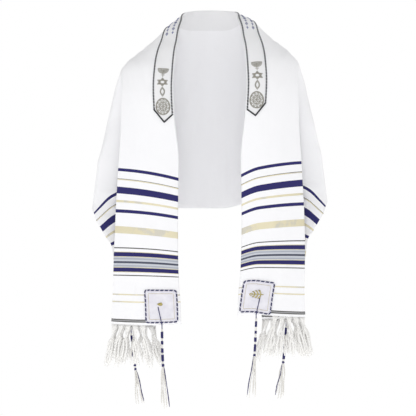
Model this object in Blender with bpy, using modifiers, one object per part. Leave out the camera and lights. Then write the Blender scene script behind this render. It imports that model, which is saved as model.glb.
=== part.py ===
"""A prayer shawl in its worn pose, open in front and with nobody inside it.

The cloth is one rectangle. "along" runs with its long side from the centre of the back (0) to each
short end, and "across" runs from the neck edge (0) to the hem. Every place on the cloth is worked out
from five lines that run along it, given below as how far out to the side, how far back and how far
down they lie. Left is the viewer's left, at -X. The front faces -Y. Sizes are in metres.
"""

import math
import random

import bmesh
import bpy
import numpy as np

HALF_LENGTH = 0.950
WIDTH = 0.535
CLOTH_THICKNESS = 0.002
SEAM_GAP = 0.0003
PATH_STEP = 0.002

BAND_NEAR = 0.003
BAND_FAR = 0.056
BAND_STRAIGHT_END = 0.410
BAND_POINT = 0.438
BAND_THICKNESS = 0.001

PATCH_SIZE = 0.084
PATCH_FROM_EDGE = 0.008
PATCH_FROM_END = 0.005
PATCH_THICKNESS = 0.001
PATCH_CORNER = 0.007

TASSEL_PITCH = 0.0150
TASSEL_ROOT = 0.006
PATCH_COLUMN = 5
MIDDLE_LINES = 19
FIRST_TUCK_SHARE = 0.29
ROUNDING_LOSS = 0.010
STEEPEST_TUCK = 12.0
TURN_PER_LINE = math.radians(50)
SPACE_PER_LINE = 0.030
FRINGE_STRIP_HEIGHT = 0.003
FRINGE_STRIP_THICKNESS = 0.0012
FRINGE_GAP = 0.0009

TASSEL_SHAFT_LENGTH = 0.098
TASSEL_RADIUS = 0.0029
FRONT_TASSEL_LENGTH = 0.202
REAR_TASSEL_LENGTH = 0.184
HOLE_SHIFT = 0.009
TASSEL_BEND = 0.003

RIGHT_SHOULDER_RISE = 0.018
NECK_SHIFT = 0.001
RIGHT_INNER_LIFT = 0.013

# Each row: along, out, back, down, in millimetres.
EDGE_LINE = (
    (0, 0, 0, -12),
    (50, 45, -16, -9),
    (100, 69, -58, 0),
    (131, 72, -80, 20),
    (169, 79, -108, 45),
    (202, 83, -128, 72),
    (234, 88, -146, 98),
    (289, 93, -163, 150),
    (342, 95, -172, 202),
    (421, 91, -175, 280),
    (486, 83, -174, 345),
    (525, 80, -172, 384),
    (577, 81, -171, 436),
    (655, 82, -170, 514),
    (759, 82, -169, 618),
    (837, 80, -168, 696),
    (889, 76, -167, 748),
    (950, 74, -167, 808),
)
FRONT_LINE = (
    (0, 0, 30, 74),
    (50, 52, 22, 70),
    (100, 87, -14, 34),
    (150, 117, -52, 40),
    (200, 146, -72, 73),
    (250, 162, -108, 102),
    (300, 166, -146, 138),
    (350, 166, -164, 192),
    (400, 165, -170, 242),
    (500, 160, -174, 344),
    (575, 160, -175, 417),
    (674, 162, -174, 521),
    (777, 164, -173, 629),
    (874, 165, -171, 733),
    (950, 166, -170, 811),
)
FOLD_LINE = (
    (0, 0, 54, 172),
    (50, 54, 58, 168),
    (100, 104, 50, 150),
    (150, 148, 38, 128),
    (200, 191, 6, 110),
    (250, 212, -42, 125),
    (300, 231, -98, 144),
    (350, 234, -128, 194),
    (400, 235, -140, 243),
    (450, 235, -147, 291),
    (500, 237, -151, 338),
    (575, 242, -153, 408),
    (625, 245, -153, 460),
    (674, 248, -153, 515),
    (720, 250, -152, 563),
    (777, 253, -151, 627),
    (874, 256, -149, 731),
    (950, 260, -147, 808),
)
ARM_LINE = (
    (0, 0, 58, 330),
    (100, 104, 60, 320),
    (150, 152, 52, 292),
    (200, 197, 34, 250),
    (250, 233, -6, 206),
    (300, 250, -44, 202),
    (350, 266, -66, 256),
    (400, 278, -82, 312),
    (450, 290, -92, 368),
    (500, 296, -100, 422),
    (540, 293, -107, 458),
    (575, 249, -110, 467),
    (625, 240, -110, 524),
    (674, 240, -107, 590),
    (720, 245, -104, 644),
    (777, 239, -100, 690),
    (874, 232, -96, 768),
    (950, 230, -94, 827),
)
HEM_LINE = (
    (0, 0, 46, 509),
    (100, 98, 54, 508),
    (200, 190, 44, 507),
    (300, 258, 8, 506),
    (350, 279, -20, 506),
    (400, 293, -48, 507),
    (450, 301, -74, 508),
    (500, 306, -96, 509),
    (540, 306, -112, 511),
    (575, 301, -124, 522),
    (599, 295, -126, 541),
    (625, 282, -124, 562),
    (651, 270, -120, 584),
    (674, 257, -116, 602),
    (720, 250, -108, 645),
    (777, 245, -104, 692),
    (874, 240, -99, 770),
    (950, 237, -96, 827),
)
# Each row: along, space between the tucked layers, how far the layers behind hang below the front one.
TUCK_LINE = (
    (0, 0, 0),
    (270, 0, 0),
    (300, 4, 2),
    (350, 10, 10),
    (400, 14, 22),
    (500, 16, 42),
    (575, 17, 53),
    (674, 17, 78),
    (720, 17, 76),
    (777, 17, 64),
    (874, 16, 34),
    (950, 16, 9),
)
# Soft folds of the back. Each row: along (left is minus), width, depth, how much it leans.
BACK_FOLDS = (
    (-395, 60, 16, 0.02),
    (-300, 66, -20, 0.05),
    (-205, 58, 17, 0.10),
    (-118, 44, -9, 0.16),
    (-48, 26, 5, 0.22),
    (52, 30, -5, -0.04),
    (125, 46, 10, -0.10),
    (212, 58, -18, -0.08),
    (306, 64, 19, -0.04),
    (400, 60, -15, -0.02),
)

CLOTH_WHITE = (0.88, 0.88, 0.90, 1)
BAND_SILVER = (0.74, 0.75, 0.77, 1)
PATCH_WHITE = (0.84, 0.84, 0.86, 1)
THREAD_WHITE = (0.80, 0.79, 0.77, 1)
TASSEL_NAVY = (0.30, 0.30, 0.46, 1)


def curve_through(table, at):
    """Reads a table of rows at a distance along, smoothly, mirrored about the centre of the back."""
    rows = np.array(table, dtype=float)
    mirrored = rows[1:][::-1] * np.array([-1.0, -1.0] + [1.0] * (rows.shape[1] - 2))
    if table is TUCK_LINE:
        mirrored[:, 1] *= -1.0
    rows = np.vstack([mirrored, rows])
    places, values = rows[:, 0], rows[:, 1:]
    here = at * 1000.0
    k = int(np.clip(np.searchsorted(places, here) - 1, 0, len(places) - 2))
    span = places[k + 1] - places[k]
    slope_before = slope_at(places, values, k)
    slope_after = slope_at(places, values, k + 1)
    t = (here - places[k]) / span
    return (
        (2 * t**3 - 3 * t**2 + 1) * values[k]
        + (t**3 - 2 * t**2 + t) * span * slope_before
        + (3 * t**2 - 2 * t**3) * values[k + 1]
        + (t**3 - t**2) * span * slope_after
    ) / 1000.0


def slope_at(places, values, k):
    low, high = max(k - 1, 0), min(k + 1, len(places) - 1)
    return (values[high] - values[low]) / (places[high] - places[low])


def ease(value, start, stop):
    t = min(max((value - start) / (stop - start), 0.0), 1.0)
    return t * t * (3 - 2 * t)


def lengths_along(points):
    steps = np.linalg.norm(np.diff(points, axis=0), axis=1)
    return np.concatenate([[0.0], np.cumsum(steps)])


def resample(points, step):
    reach = lengths_along(points)
    count = max(int(round(reach[-1] / step)), 8)
    places = np.linspace(0.0, reach[-1], count + 1)
    return np.column_stack([np.interp(places, reach, points[:, i]) for i in range(3)])


def round_off(points, reach):
    """Rounds the corners of a dense path by averaging over a window, with its two ends kept."""
    half = max(int(round(reach / PATH_STEP)), 1)
    before = 2 * points[0] - points[1 : half + 1][::-1]
    after = 2 * points[-1] - points[-half - 1 : -1][::-1]
    padded = np.vstack([before, points, after])
    kernel = np.ones(2 * half + 1) / (2 * half + 1)
    return np.column_stack([np.convolve(padded[:, i], kernel, mode="valid") for i in range(3)])


class Section:
    """The line across the cloth at one distance along it, as (out, back, down) points."""

    def __init__(self, along):
        edge = curve_through(EDGE_LINE, along)
        front = curve_through(FRONT_LINE, along)
        fold = curve_through(FOLD_LINE, along)
        arm = curve_through(ARM_LINE, along)
        hem = curve_through(HEM_LINE, along)
        space, rear_drop = np.maximum(curve_through(TUCK_LINE, along), 0.0)
        side = 1.0 if along >= 0 else -1.0
        lead = bezier(edge, 2 * front - 0.5 * (edge + fold), fold)
        inner = np.array([-side, 0.0, 0.0])
        stair = np.array([0.0, space, rear_drop / 3])
        tail = np.vstack([arm, hem])

        def layers(spare):
            first, second = FIRST_TUCK_SHARE * spare, (1 - FIRST_TUCK_SHARE) * spare
            turn_back = min(0.004, first / 2)
            tuck = np.vstack([
                fold + inner * first,
                fold + stair + inner * first,
                fold + stair + inner * turn_back,
                fold + 2 * stair + inner * turn_back,
                fold + 2 * stair + inner * second,
                fold + 3 * stair + inner * second,
            ])
            return np.vstack([lead, tuck, tail]) if space > 0.0 else np.vstack([lead, tail])

        low, high = 0.0, 0.30
        for _ in range(24):
            spare = (low + high) / 2
            if lengths_along(layers(spare))[-1] < WIDTH + ROUNDING_LOSS:
                low = spare
            else:
                high = spare
        spare = min(spare, STEEPEST_TUCK * max(space - 0.002, 0.0))
        path = layers(spare)
        fold_mark = lengths_along(lead)[-1]
        marks = [fold_mark]
        for share in (FIRST_TUCK_SHARE, FIRST_TUCK_SHARE, 1 - FIRST_TUCK_SHARE):
            marks.append(marks[-1] + space + spare * share)
        whole = lengths_along(path)[-1]
        dense = resample(path, PATH_STEP)
        window = 0.009 + 0.020 * (1 - ease(abs(along), 0.20, 0.40))
        tight, loose = round_off(dense, window), round_off(dense, 0.034)
        past = (lengths_along(dense) - marks[-1]) / 0.050 - 0.3
        weight = np.clip(past, 0.0, 1.0)[:, None]
        dense = tight * (1 - weight) + loose * weight
        reach = lengths_along(dense)
        scale = reach[-1] / whole
        front_reach = fold_mark * scale
        stretch = (WIDTH - front_reach) / (reach[-1] - front_reach)
        across = np.where(reach < front_reach, reach, front_reach + (reach - front_reach) * stretch)
        self.points = dense
        self.across = across
        self.marks = [front_reach + (mark * scale - front_reach) * stretch for mark in marks]

    def at(self, across):
        return np.array([np.interp(across, self.across, self.points[:, i]) for i in range(3)])


def bezier(start, middle, end, count=24):
    t = np.linspace(0.0, 1.0, count + 1)[:, None]
    return (1 - t) ** 2 * start + 2 * t * (1 - t) * middle + t**2 * end


def back_wave(along, across):
    """How far the soft folds of the back push the cloth backwards."""
    total = 0.0
    for place, width, depth, lean in BACK_FOLDS:
        offset = (along * 1000 - place - lean * across * 1000) / width
        total += depth / 1000 * math.exp(-2.2 * offset * offset)
    fade = 1 - ease(abs(along), 0.38, 0.47)
    return total * fade * ease(across, 0.06, WIDTH)


def settle(along, across, point, fold_across):
    """Turns (out, back, down) into a place, with the small differences between the two sides."""
    x, y, z = point[0], point[1] + back_wave(along, across), -point[2]
    x += NECK_SHIFT * math.exp(-max(-z, 0.0) / 0.15)
    if along > 0:
        z += RIGHT_SHOULDER_RISE * ease(x, 0.03, 0.13) * ease(-z, -0.03, 0.03)
        low = ease(along, 0.70, HALF_LENGTH)
        x *= 1 - 0.03 * low
        z += RIGHT_INNER_LIFT * low * max(1 - across / fold_across, 0.0)
    return np.array([x, y, z])


class Cloth:
    """Places on the outer face of the cloth, from a store of the sections already worked out."""

    def __init__(self):
        self.sections = {}

    def section(self, along):
        key = round(along, 6)
        if key not in self.sections:
            self.sections[key] = Section(along)
        return self.sections[key]

    def place(self, along, across):
        section = self.section(along)
        return settle(along, across, section.at(across), section.marks[0])


def across_lines(section):
    """Where the grid crosses one section: evenly, but closer together where the cloth turns."""
    near = [0.0, BAND_NEAR, PATCH_FROM_EDGE, (BAND_NEAR + BAND_FAR) / 2, BAND_FAR,
            PATCH_FROM_EDGE + PATCH_SIZE]
    stop = WIDTH - PATCH_FROM_EDGE - PATCH_SIZE
    places = np.linspace(near[-1], stop, 400)
    path = np.array([section.at(place) for place in places])
    way = np.diff(path, axis=0)
    way /= np.linalg.norm(way, axis=1)[:, None]
    turning = np.arccos(np.clip(np.sum(way[1:] * way[:-1], axis=1), -1.0, 1.0))
    share = np.concatenate([[0.0], np.cumsum(turning) / TURN_PER_LINE])
    share += (places[:-1] - places[0]) / SPACE_PER_LINE
    wanted = np.linspace(0.0, share[-1], MIDDLE_LINES + 1)[1:-1]
    middle = np.interp(wanted, share, places[:-1])
    rest = np.linspace(stop, WIDTH - PATCH_FROM_EDGE, 4)
    return near + [float(v) for v in middle] + [float(v) for v in rest] + [WIDTH]


def along_lines():
    """Distances along one half of the cloth where the grid has a line."""
    upper = [0.0, 0.026, 0.052, 0.077, 0.100, 0.120, 0.142, 0.166, 0.190, 0.214, 0.238, 0.262, 0.286]
    middle = [0.310, 0.334, 0.359, 0.385, BAND_STRAIGHT_END, BAND_POINT, 0.468, 0.500, 0.530, 0.558, 0.584]
    patch_start = HALF_LENGTH - PATCH_FROM_END - PATCH_SIZE
    lower = [float(v) for v in np.linspace(0.620, patch_start, 7)]
    patch = [float(v) for v in np.linspace(patch_start, HALF_LENGTH - PATCH_FROM_END, 4)[1:]]
    return upper + middle + lower + patch + [HALF_LENGTH]


def new_object(name, mesh, collection, color, roughness=0.8):
    made = bpy.data.objects.new(name, mesh)
    material = bpy.data.materials.new(name)
    material.use_nodes = True
    shader = material.node_tree.nodes["Principled BSDF"]
    shader.inputs["Base Color"].default_value = color
    shader.inputs["Roughness"].default_value = roughness
    mesh.materials.append(material)
    collection.objects.link(made)
    return made


def sheet_mesh(name, grid, left_rows):
    """An open surface from a grid of places. Left of the middle its facets are split the other way."""
    rows, columns = len(grid), len(grid[0])
    points = [tuple(place) for row in grid for place in row]
    faces = []
    for i in range(rows - 1):
        for j in range(columns - 1):
            a = i * columns + j
            if i < left_rows:
                faces.append((a + columns, a + columns + 1, a + 1, a))
            else:
                faces.append((a, a + columns, a + columns + 1, a + 1))
    mesh = bpy.data.meshes.new(name)
    mesh.from_pydata(points, [], faces)
    mesh.shade_smooth()
    return mesh


def grid_normals(grid):
    """Outward directions at the grid's points, from the facets around each."""
    places = np.array(grid)
    rows, columns = places.shape[:2]
    total = np.zeros_like(places)
    for i in range(rows - 1):
        for j in range(columns - 1):
            diagonal = places[i + 1, j + 1] - places[i, j]
            other = places[i, j + 1] - places[i + 1, j]
            normal = np.cross(diagonal, other)
            normal /= max(np.linalg.norm(normal), 1e-12)
            total[i : i + 2, j : j + 2] += normal
    size = np.linalg.norm(total, axis=2, keepdims=True)
    return total / np.maximum(size, 1e-12)


def add_thickness(made, thickness, offset):
    wall = made.modifiers.new("wall", "SOLIDIFY")
    wall.thickness = thickness
    wall.offset = offset
    wall.use_even_offset = True
    wall.use_quality_normals = True


def overlay(name, grid, normals, rows, columns, collection, color, thickness, reshape):
    """A thin piece that lies on the cloth, made from the cloth's own points moved outwards."""
    lifted = []
    for i in rows:
        lifted.append([grid[i][j] + normals[i][j] * SEAM_GAP for j in columns])
    reshape(lifted)
    left_rows = (len(grid) - 1) // 2 - rows[0]
    made = new_object(name, sheet_mesh(name, lifted, left_rows), collection, color)
    add_thickness(made, thickness, 1)
    return made


def cut_corners(lifted):
    """Draws in the four corners of a patch."""
    last_row, last_column = len(lifted) - 1, len(lifted[0]) - 1
    for i, step_i in ((0, 1), (last_row, -1)):
        for j, step_j in ((0, 1), (last_column, -1)):
            corner = lifted[i][j]
            to_row = lifted[i + step_i][j] - corner
            to_column = lifted[i][j + step_j] - corner
            to_row = to_row / np.linalg.norm(to_row)
            to_column = to_column / np.linalg.norm(to_column)
            lifted[i][j] = corner + (to_row + to_column) * PATCH_CORNER * 0.35


def point_ends(lifted):
    """Draws the band's two ends to a blunt point."""
    for row, inner in ((0, 1), (-1, -2)):
        tip = lifted[row][2]
        half_width = np.linalg.norm(lifted[row][3] - tip)
        for column in (0, 1, 3):
            start, end = lifted[inner][column], lifted[row][column]
            share = 1 - np.linalg.norm(end - tip) / half_width
            lifted[row][column] = start + (end - start) * max(share, 0.08)


def ring_faces(bm, upper, lower):
    count = len(upper)
    for k in range(count):
        bm.faces.new((upper[k], upper[(k + 1) % count], lower[(k + 1) % count], lower[k]))


def grow(bm, ring, rows):
    """Continues a ring of vertices through rows of places, and closes the last one."""
    for row in rows:
        fresh = [bm.verts.new(place) for place in row]
        ring_faces(bm, ring, fresh)
        ring = fresh
    bm.faces.new(ring)


def fringe(name, edge, lines, inside, side, collection, seed):
    """A narrow strip along the cloth's short end, with its knotted tassels grown from it."""
    chance = random.Random(seed)
    frames, roots = [], []
    for j in range(PATCH_COLUMN, len(lines) - 5):
        length = lines[j + 1] - lines[j]
        count = int(length / TASSEL_PITCH + 0.35)
        frames.append(edge_frame(edge, inside, side, j, 0.0 if frames else 0.1))
        for k in range(count):
            middle = (k + 0.5) / count
            half = TASSEL_ROOT / 2 / length
            roots.append(len(frames))
            frames += [edge_frame(edge, inside, side, j, middle + part * half) for part in (-1, 0, 1)]
    frames.append(edge_frame(edge, inside, side, len(lines) - 6, 0.9))
    bm = bmesh.new()
    tops, bottoms = [], []
    for place, outward, down in frames:
        near = place + down * FRINGE_GAP
        far = near + down * FRINGE_STRIP_HEIGHT
        half = outward * FRINGE_STRIP_THICKNESS / 2
        tops.append([bm.verts.new(near + half), bm.verts.new(near - half)])
        bottoms.append([bm.verts.new(far + half), bm.verts.new(far - half)])
    grown = {k + part for k in roots for part in (0, 1)}
    for k in range(len(frames) - 1):
        bm.faces.new((tops[k][0], tops[k + 1][0], tops[k + 1][1], tops[k][1]))
        bm.faces.new((tops[k][0], bottoms[k][0], bottoms[k + 1][0], tops[k + 1][0]))
        bm.faces.new((tops[k][1], tops[k + 1][1], bottoms[k + 1][1], bottoms[k][1]))
        if k not in grown:
            bm.faces.new((bottoms[k][0], bottoms[k][1], bottoms[k + 1][1], bottoms[k + 1][0]))
    bm.faces.new((tops[0][0], tops[0][1], bottoms[0][1], bottoms[0][0]))
    bm.faces.new((tops[-1][0], bottoms[-1][0], bottoms[-1][1], tops[-1][1]))
    for k in roots:
        knotted_tassel(bm, bottoms[k : k + 3], frames, k, chance)
    bmesh.ops.recalc_face_normals(bm, faces=bm.faces)
    mesh = bpy.data.meshes.new(name)
    bm.to_mesh(mesh)
    bm.free()
    mesh.shade_smooth()
    return new_object(name, mesh, collection, THREAD_WHITE)


def edge_frame(edge, inside, side, j, share):
    """Middle of the wall on the short end's facets, with the outward and the hanging directions."""
    place = edge[j] + (edge[j + 1] - edge[j]) * share
    above = inside[j] + (inside[j + 1] - inside[j]) * share
    down = (place - above) / np.linalg.norm(place - above)
    beside = edge[j + 1] - edge[j]
    if share == 0.0:
        beside = edge[j + 1] - edge[j - 1]
    outward = np.cross(beside, down) * -side
    outward = outward / np.linalg.norm(outward)
    return place - outward * CLOTH_THICKNESS / 2, outward, down


def strip_frame(cloth, end, side, across):
    """Middle of the wall at the short end, with the outward and the hanging directions there."""
    place = cloth.place(end, across)
    inside = cloth.place(end - side * 0.01, across)
    beside = cloth.place(end, across + 0.002) - cloth.place(end, across - 0.002)
    down = (place - inside) / np.linalg.norm(place - inside)
    outward = np.cross(beside, down) * -side
    outward = outward / np.linalg.norm(outward)
    return place - outward * CLOTH_THICKNESS / 2, outward, down


def knotted_tassel(bm, bottoms, frames, k, chance):
    place, outward, _ = frames[k + 1]
    beside = frames[k + 2][0] - frames[k][0]
    beside = beside / np.linalg.norm(beside)
    hang = np.array([0.0, 0.0, -1.0])
    sway = beside * chance.uniform(-0.10, 0.10) + outward * chance.uniform(-0.06, 0.06)
    knot = chance.uniform(0.028, 0.040)
    tip = chance.uniform(0.100, 0.114)
    ring = [bottoms[0][0], bottoms[1][0], bottoms[2][0], bottoms[2][1], bottoms[1][1], bottoms[0][1]]
    for drop, wide, thick in (
            (knot - 0.006, 0.0018, 0.0016),
            (knot, 0.0036, 0.0036),
            (knot + 0.006, 0.0028, 0.0024)):
        centre = place + hang * drop + sway * drop
        fresh = []
        for across_side, out_side in ((-1, 1), (0, 1.15), (1, 1), (1, -1), (0, -1.15), (-1, -1)):
            spot = centre + beside * across_side * wide + outward * out_side * thick
            fresh.append(bm.verts.new(spot))
        ring_faces(bm, ring, fresh)
        ring = fresh
    for part, lean in (((0, 1, 4, 5), -1), ((1, 2, 3, 4), 1)):
        roots = [ring[i] for i in part]
        spread = lean * chance.uniform(0.0030, 0.0048)
        bend = chance.uniform(-0.003, 0.003)
        rows = []
        for share, wide in ((0.45, 0.0020), (1.0, 0.0011)):
            drop = knot + 0.006 + (tip - knot - 0.006) * share
            centre = place + hang * drop + sway * drop
            centre = centre + beside * spread * (0.55 + 0.45 * share) + outward * bend * share
            rows.append([
                centre + beside * a * wide + outward * b * wide
                for a, b in ((-1, 1), (1, 1), (1, -1), (-1, -1))
            ])
        grow(bm, roots, rows)


def corner_tassel(name, cloth, along, across, side, length, lean, collection, seed):
    """A loop over the corner's end, a wound shaft, and eight loose strands."""
    chance = random.Random(seed)
    end = side * HALF_LENGTH
    frame = strip_frame(cloth, end, side, across)
    place, outward, down = frame
    hang = np.array([0.0, 0.0, -1.0])
    beside = np.cross(hang, outward)
    beside = beside / np.linalg.norm(beside)
    forward = np.cross(beside, hang)
    inward = np.array([-side, 0.0, 0.0])
    fall = hang + inward * lean
    head = place + hang * 0.012
    bm = bmesh.new()
    turns = [math.radians(22.5 + 45 * k) for k in range(8)]

    def ring_at(centre, radius):
        return [
            centre + beside * math.cos(turn) * radius + forward * math.sin(turn) * radius for turn in turns
        ]

    def centre_at(drop):
        return head + fall * drop - inward * TASSEL_BEND * math.sin(drop / 0.06)

    outer_top = [bm.verts.new(p) for p in ring_at(centre_at(0.0), TASSEL_RADIUS)]
    inner_top = [bm.verts.new(p) for p in ring_at(centre_at(0.0), TASSEL_RADIUS * 0.45)]
    bm.faces.new(inner_top)
    ring = outer_top
    knots = 5
    for k in range(1, 2 * knots):
        drop = TASSEL_SHAFT_LENGTH * k / (2 * knots - 1)
        radius = TASSEL_RADIUS * (1.25 if k % 2 == 0 else 0.92)
        fresh = [bm.verts.new(p) for p in ring_at(centre_at(drop), radius)]
        ring_faces(bm, ring, fresh)
        ring = fresh
    inner_bottom = [bm.verts.new(p) for p in ring_at(centre_at(TASSEL_SHAFT_LENGTH), TASSEL_RADIUS * 0.4)]
    bm.faces.new(inner_bottom)
    for k in range(8):
        after = (k + 1) % 8
        turn = turns[k] + math.radians(22.5)
        away = beside * math.cos(turn) + forward * math.sin(turn)
        roots = [ring[k], ring[after], inner_bottom[after], inner_bottom[k]]
        rows = []
        own = length - TASSEL_SHAFT_LENGTH + chance.uniform(-0.008, 0.006)
        bend = chance.uniform(-0.002, 0.002)
        tangent = beside * -math.sin(turn) + forward * math.cos(turn)
        for share, reach in ((0.08, 0.0034), (0.35, 0.0062), (0.68, 0.0075), (1.0, 0.0088)):
            centre = centre_at(TASSEL_SHAFT_LENGTH) + fall * own * share + away * reach
            centre = centre + tangent * bend * math.sin(share * 5)
            half = 0.0011
            rows.append([
                centre + away * half - tangent * half,
                centre + away * half + tangent * half,
                centre - away * half + tangent * half,
                centre - away * half - tangent * half,
            ])
        grow(bm, roots, rows)
    for k in range(8):
        after = (k + 1) % 8
        turn = turns[k] + math.radians(22.5)
        toward = math.sin(turn)
        roots = [outer_top[after], outer_top[k], inner_top[k], inner_top[after]]
        if abs(toward) < 0.9:
            bm.faces.new(roots)
            continue
        rows = loop_rows(cloth, along, across, end, side, toward > 0, beside)
        grow(bm, roots, rows)
    bmesh.ops.recalc_face_normals(bm, faces=bm.faces)
    mesh = bpy.data.meshes.new(name)
    bm.to_mesh(mesh)
    bm.free()
    mesh.shade_smooth()
    return new_object(name, mesh, collection, TASSEL_NAVY)


def loop_rows(cloth, along, across, end, side, in_front, beside):
    """One run of the loop, from below the short end up to the hole, clear of cloth and patch."""
    rows = []
    lift = SEAM_GAP + PATCH_THICKNESS + 0.0008 if in_front else -CLOTH_THICKNESS - 0.0008
    thick = 0.0016 if in_front else -0.0016
    half = 0.0011
    for share in (-0.10, 0.30, 0.65, 1.0):
        spot = end + (along - end) * share
        if share < 0:
            spot = end
        place, outward, down = strip_frame(cloth, spot, side, across + HOLE_SHIFT * max(share, 0.0))
        face = place + outward * CLOTH_THICKNESS / 2
        if share < 0:
            face = face + down * 0.004
        low = face + outward * lift
        high = face + outward * (lift + thick)
        order = 1 if in_front else -1
        rows.append([
            high - beside * half * order,
            high + beside * half * order,
            low + beside * half * order,
            low - beside * half * order,
        ])
    return rows


def main():
    for old in list(bpy.data.objects):
        bpy.data.objects.remove(old, do_unlink=True)
    collection = bpy.data.collections.new("prayer_shawl")
    bpy.context.scene.collection.children.link(collection)
    cloth = Cloth()
    half = along_lines()
    alongs = [-v for v in half[:0:-1]] + half
    grid = []
    for along in alongs:
        section = cloth.section(along)
        grid.append([cloth.place(along, across) for across in across_lines(section)])
    normals = grid_normals(grid)
    shawl = new_object("shawl", sheet_mesh("shawl", grid, len(half) - 1), collection, CLOTH_WHITE)
    add_thickness(shawl, CLOTH_THICKNESS, -1)

    centre = len(half) - 1
    reach = half.index(BAND_POINT)
    band_rows = range(centre - reach, centre + reach + 1)
    overlay("neckband", grid, normals, band_rows, (1, 2, 3, 4), collection, BAND_SILVER, BAND_THICKNESS,
            point_ends)

    columns = len(grid[0])
    front_columns = (2, 3, 4, 5)
    back_columns = tuple(range(columns - 5, columns - 1))
    ends = {"left": range(1, 5), "right": range(len(alongs) - 5, len(alongs) - 1)}
    for side_name, rows in ends.items():
        for where, used in (("front", front_columns), ("back", back_columns)):
            name = f"patch_{where}_{side_name}"
            overlay(name, grid, normals, rows, used, collection, PATCH_WHITE, PATCH_THICKNESS, cut_corners)

    lines = across_lines(cloth.section(HALF_LENGTH))
    fringe("fringe_left", grid[0], lines, grid[1], -1, collection, 3)
    fringe("fringe_right", grid[-1], lines, grid[-2], 1, collection, 8)
    hole = HALF_LENGTH - PATCH_FROM_END - PATCH_SIZE / 2
    for where, side, across, middle, length, lean, seed in (
        ("front_left", -1, 0.050, hole, FRONT_TASSEL_LENGTH, 0.06, 20),
        ("front_right", 1, 0.050, hole, FRONT_TASSEL_LENGTH, 0.08, 22),
        ("back_left", -1, WIDTH - 0.034, hole + 0.02, REAR_TASSEL_LENGTH, 0.15, 30),
        ("back_right", 1, WIDTH - 0.034, hole + 0.02, REAR_TASSEL_LENGTH, 0.11, 32),
    ):
        corner_tassel(f"tassel_{where}", cloth, side * middle, across, side, length, lean, collection, seed)


main()
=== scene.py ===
"""A prayer shawl in its worn pose: woven cloth, neckband, corner patches, fringe and corner tassels.

"along" runs with the cloth's long side from the centre of the back (0) to each short end, and
"across" runs from the neck edge (0) to the hem. Left is the viewer's left. Sizes are in metres.
"""

import math
import random
from itertools import product

import bpy
import numpy as np
from bpy.props import FloatProperty, FloatVectorProperty, IntProperty, PointerProperty
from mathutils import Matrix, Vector


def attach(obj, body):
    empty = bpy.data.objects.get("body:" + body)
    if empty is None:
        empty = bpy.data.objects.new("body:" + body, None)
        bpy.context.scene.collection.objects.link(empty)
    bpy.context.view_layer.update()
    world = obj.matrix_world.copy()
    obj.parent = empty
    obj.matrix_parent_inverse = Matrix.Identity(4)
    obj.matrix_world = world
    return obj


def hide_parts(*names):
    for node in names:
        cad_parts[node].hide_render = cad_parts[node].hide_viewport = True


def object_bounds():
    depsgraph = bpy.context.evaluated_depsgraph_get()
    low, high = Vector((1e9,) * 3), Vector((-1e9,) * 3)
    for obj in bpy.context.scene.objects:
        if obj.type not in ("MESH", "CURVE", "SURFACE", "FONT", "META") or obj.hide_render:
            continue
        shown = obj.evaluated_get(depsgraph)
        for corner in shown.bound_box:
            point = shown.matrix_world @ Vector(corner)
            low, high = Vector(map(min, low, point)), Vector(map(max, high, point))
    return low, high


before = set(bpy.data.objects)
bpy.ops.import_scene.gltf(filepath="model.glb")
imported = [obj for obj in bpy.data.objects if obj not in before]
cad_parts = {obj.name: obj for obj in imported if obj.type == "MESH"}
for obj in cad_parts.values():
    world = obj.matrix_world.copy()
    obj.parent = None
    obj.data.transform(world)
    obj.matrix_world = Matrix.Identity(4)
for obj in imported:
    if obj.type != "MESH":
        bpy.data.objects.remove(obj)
SOLID_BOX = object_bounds()

bl_info = {
    "name": "Prayer Shawl",
    "version": (1, 0, 0),
    "blender": (4, 5, 0),
    "location": "3D View > Sidebar > Shawl",
    "description": "Builds a worn prayer shawl piece by piece",
    "category": "Object",
}

HALF_LENGTH = 0.950
WIDTH = 0.535
PATH_STEP = 0.002
FIRST_TUCK_SHARE = 0.29
TUCK_TURN_BACK = 0.004
MOST_SPARE = 0.30
TIGHT_ROUNDING = 0.009
SHOULDER_ROUNDING = 0.020
ARM_ROUNDING = 0.034
ROUNDING_LOSS = 0.010
STEEPEST_TUCK = 12.0
SOLID_LINES = 19
TURN_PER_LINE = math.radians(50)
SPACE_PER_LINE = 0.030

SEAM_GAP = 0.0003
LAYER = 0.0008
BAND_NEAR = 0.003
BAND_FAR = 0.056
BAND_STRAIGHT_END = 0.410
BAND_POINT = 0.438
BAND_MIDDLE = (BAND_NEAR + BAND_FAR) / 2
BAND_HALF = (BAND_FAR - BAND_NEAR) / 2
BORDER_INSET = 0.0022
PATCH_SIZE = 0.084
PATCH_FROM_EDGE = 0.008
PATCH_FROM_END = 0.005
PATCH_CORNER_SHARE = 0.16
TASSEL_PITCH = 0.0150
TASSEL_SHAFT_LENGTH = 0.098
FRONT_TASSEL_LENGTH = 0.202
REAR_TASSEL_LENGTH = 0.184
HOLE_SHIFT = 0.009
PATCH_TILT = math.radians(5)
TASSEL_BEND = 0.003
TASSEL_GAP_AT = 0.193
KNOT_DEPTHS = (0.026, 0.040)
FRINGE_LENGTHS = (0.098, 0.114)
WARP_THREADS, LOOSE_YARNS, CORNER_STRANDS = 9, 5, 8
SHAFT_TURNS, POINTS_PER_TURN = 74, 9

RIGHT_SHOULDER_RISE = 0.018
NECK_SHIFT = 0.001
RIGHT_INNER_LIFT = 0.013

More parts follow.
